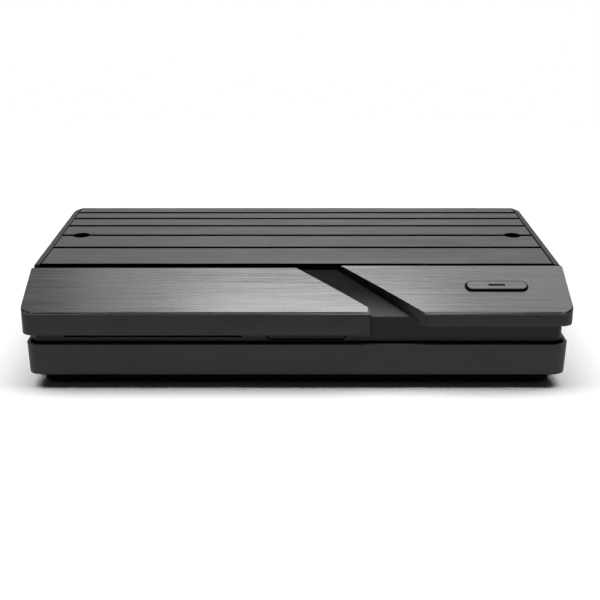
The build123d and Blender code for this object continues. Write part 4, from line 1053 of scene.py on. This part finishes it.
class RECEIVER_OT_stage(bpy.types.Operator):
    """Build the paper sheet, the lights and the camera."""

    bl_idname = "receiver.stage"
    bl_label = "Studio"

    def execute(self, context):
        stage = context.scene.receiver_stage
        self.add_floor(stage)
        self.add_world(stage)
        # two broad lights shape the shadow on the paper, and three more are only mirrored in the metal
        for name, power, place, size in (
            ("softbox_overhead", stage.overhead_power, (0.0, 0.09, 2.4), (3.8, 1.2)),
            ("softbox_wide", stage.wide_power, (0.0, 1.0, 3.1), (5.5, 3.6)),
        ):
            self.add_softbox(name, power, place, size).visible_glossy = False
        for name, power, place, size in (
            ("softbox_ceiling", stage.ceiling_power, (0.52, 0.25, 0.95), (1.62, 1.0)),
            ("softbox_key", stage.key_power, (0.01, -0.01, 0.7), (0.24, 0.28)),
            ("softbox_front", stage.front_power, (0.0, -0.62, 0.6), (0.7, 0.2)),
        ):
            self.add_softbox(name, power, place, size).visible_diffuse = False
        self.add_camera()
        return {"FINISHED"}

    def add_floor(self, stage):
        """A round sheet of white paper, which turns fully white in view and keeps the shadow."""
        mesh = bmesh.new()
        bmesh.ops.create_circle(mesh, cap_ends=True, segments=96, radius=0.6)
        data = bpy.data.meshes.new("paper_sheet")
        mesh.to_mesh(data)
        mesh.free()
        floor = bpy.data.objects.new("paper_sheet", data)
        bpy.context.scene.collection.objects.link(floor)
        material, tree, output = new_material("paper_matt_white")
        path = add_node(tree, "ShaderNodeLightPath")
        fibre = stretched_noise(tree, (2.0, 2.0, 2.0), 2.0, 0.5)
        tone = mottled(tree, fibre, stage.floor, 0.99, 1.0)
        # mirrored in the metal the sheet is grey, and in view it is just over white
        for ray, level in (("Is Glossy Ray", 0.64), ("Is Camera Ray", 1.04)):
            tone = add_node(
                tree,
                "ShaderNodeMix",
                {0: path.outputs[ray], 6: tone, 7: (level, level, level, 1.0)},
                data_type="RGBA",
            ).outputs[2]
        shader = add_node(tree, "ShaderNodeBsdfDiffuse", {"Color": tone})
        tree.links.new(shader.outputs[0], output.inputs[0])
        data.materials.append(material)

    def add_world(self, stage):
        """Pale room: white where it is seen, and mirrored brightly from behind and dimly from in front."""
        world = bpy.data.worlds.new("pale_room")
        world.use_nodes = True
        tree = world.node_tree
        tree.nodes.clear()
        path = add_node(tree, "ShaderNodeLightPath")
        seen = add_node(
            tree,
            "ShaderNodeMath",
            {0: path.outputs["Is Camera Ray"], 1: path.outputs["Is Transmission Ray"]},
            operation="MAXIMUM",
        ).outputs[0]
        direction = add_node(tree, "ShaderNodeTexCoord").outputs["Generated"]
        forward = add_node(tree, "ShaderNodeSeparateXYZ", {0: direction}).outputs["Y"]
        mirrored = spread(tree, forward, -0.2, 0.7, 0.05, 0.62)
        strength = stage.world_strength
        for ray, level in ((path.outputs["Is Glossy Ray"], mirrored), (seen, 1.0)):
            strength = add_node(
                tree,
                "ShaderNodeMix",
                {0: ray, 2: strength, 3: level},
                data_type="FLOAT",
            ).outputs[0]
        white = (1.0, 1.0, 1.0, 1.0)
        light = add_node(tree, "ShaderNodeBackground", {"Color": white, "Strength": strength})
        output = add_node(tree, "ShaderNodeOutputWorld")
        tree.links.new(light.outputs[0], output.inputs[0])
        bpy.context.scene.world = world

    def add_softbox(self, name, power, place, size):
        """A rectangular softbox, level from left to right, that leans towards the receiver."""
        lamp = bpy.data.lights.new(name, "AREA")
        lamp.shape = "RECTANGLE"
        lamp.size, lamp.size_y = size
        lamp.energy = power
        box = bpy.data.objects.new(name, lamp)
        box.location = place
        aim = Vector((place[0], 0.0, 0.03)) - Vector(place)
        box.rotation_euler = aim.to_track_quat("-Z", "Y").to_euler()
        bpy.context.scene.collection.objects.link(box)
        return box

    def add_camera(self):
        """A 65 mm lens a hand's width over the lid, half a metre in front."""
        looks_down = 19.4
        camera = bpy.data.cameras.new("camera")
        camera.sensor_width = 36.0
        camera.lens = 65.04
        camera.shift_x = 0.005
        camera.clip_start, camera.clip_end = 0.01, 50.0
        holder = bpy.data.objects.new("camera", camera)
        holder.location = (0.0, -0.4724, 0.183)
        holder.rotation_euler = (math.radians(90 - looks_down), 0.0, 0.0)
        bpy.context.scene.collection.objects.link(holder)
        bpy.context.scene.camera = holder
        bpy.context.scene.view_settings.view_transform = "Standard"


OPERATORS = (
    RECEIVER_OT_base,
    RECEIVER_OT_inner_body,
    RECEIVER_OT_covers,
    RECEIVER_OT_lid,
    RECEIVER_OT_button,
    RECEIVER_OT_rear,
    RECEIVER_OT_electronics,
    RECEIVER_OT_stage,
)


class RECEIVER_PT_finish(bpy.types.Panel):
    """Lists the receiver's settings and steps."""

    bl_idname = "RECEIVER_PT_finish"
    bl_label = "Receiver"
    bl_space_type = "VIEW_3D"
    bl_region_type = "UI"
    bl_category = "Receiver"

    def draw(self, context):
        for group in ("receiver_colours", "receiver_edges", "receiver_stage"):
            settings = getattr(context.scene, group)
            for name in settings.bl_rna.properties.keys():
                if name not in ("rna_type", "name"):
                    self.layout.prop(settings, name)
        for operator in OPERATORS:
            self.layout.operator(operator.bl_idname)


CLASSES = (ReceiverColours, ReceiverEdges, ReceiverStage, *OPERATORS, RECEIVER_PT_finish)


def register():
    """Makes the settings, steps and panel known to Blender."""
    for cls in CLASSES:
        bpy.utils.register_class(cls)
    bpy.types.Scene.receiver_colours = bpy.props.PointerProperty(type=ReceiverColours)
    bpy.types.Scene.receiver_edges = bpy.props.PointerProperty(type=ReceiverEdges)
    bpy.types.Scene.receiver_stage = bpy.props.PointerProperty(type=ReceiverStage)


def unregister():
    """Takes them out again, in the opposite order."""
    del bpy.types.Scene.receiver_stage
    del bpy.types.Scene.receiver_edges
    del bpy.types.Scene.receiver_colours
    for cls in reversed(CLASSES):
        bpy.utils.unregister_class(cls)


def main():
    """Runs every step once."""
    register()
    for operator in OPERATORS:
        group, name = operator.bl_idname.split(".")
        getattr(getattr(bpy.ops, group), name)()


if __name__ == "__main__":
    main()
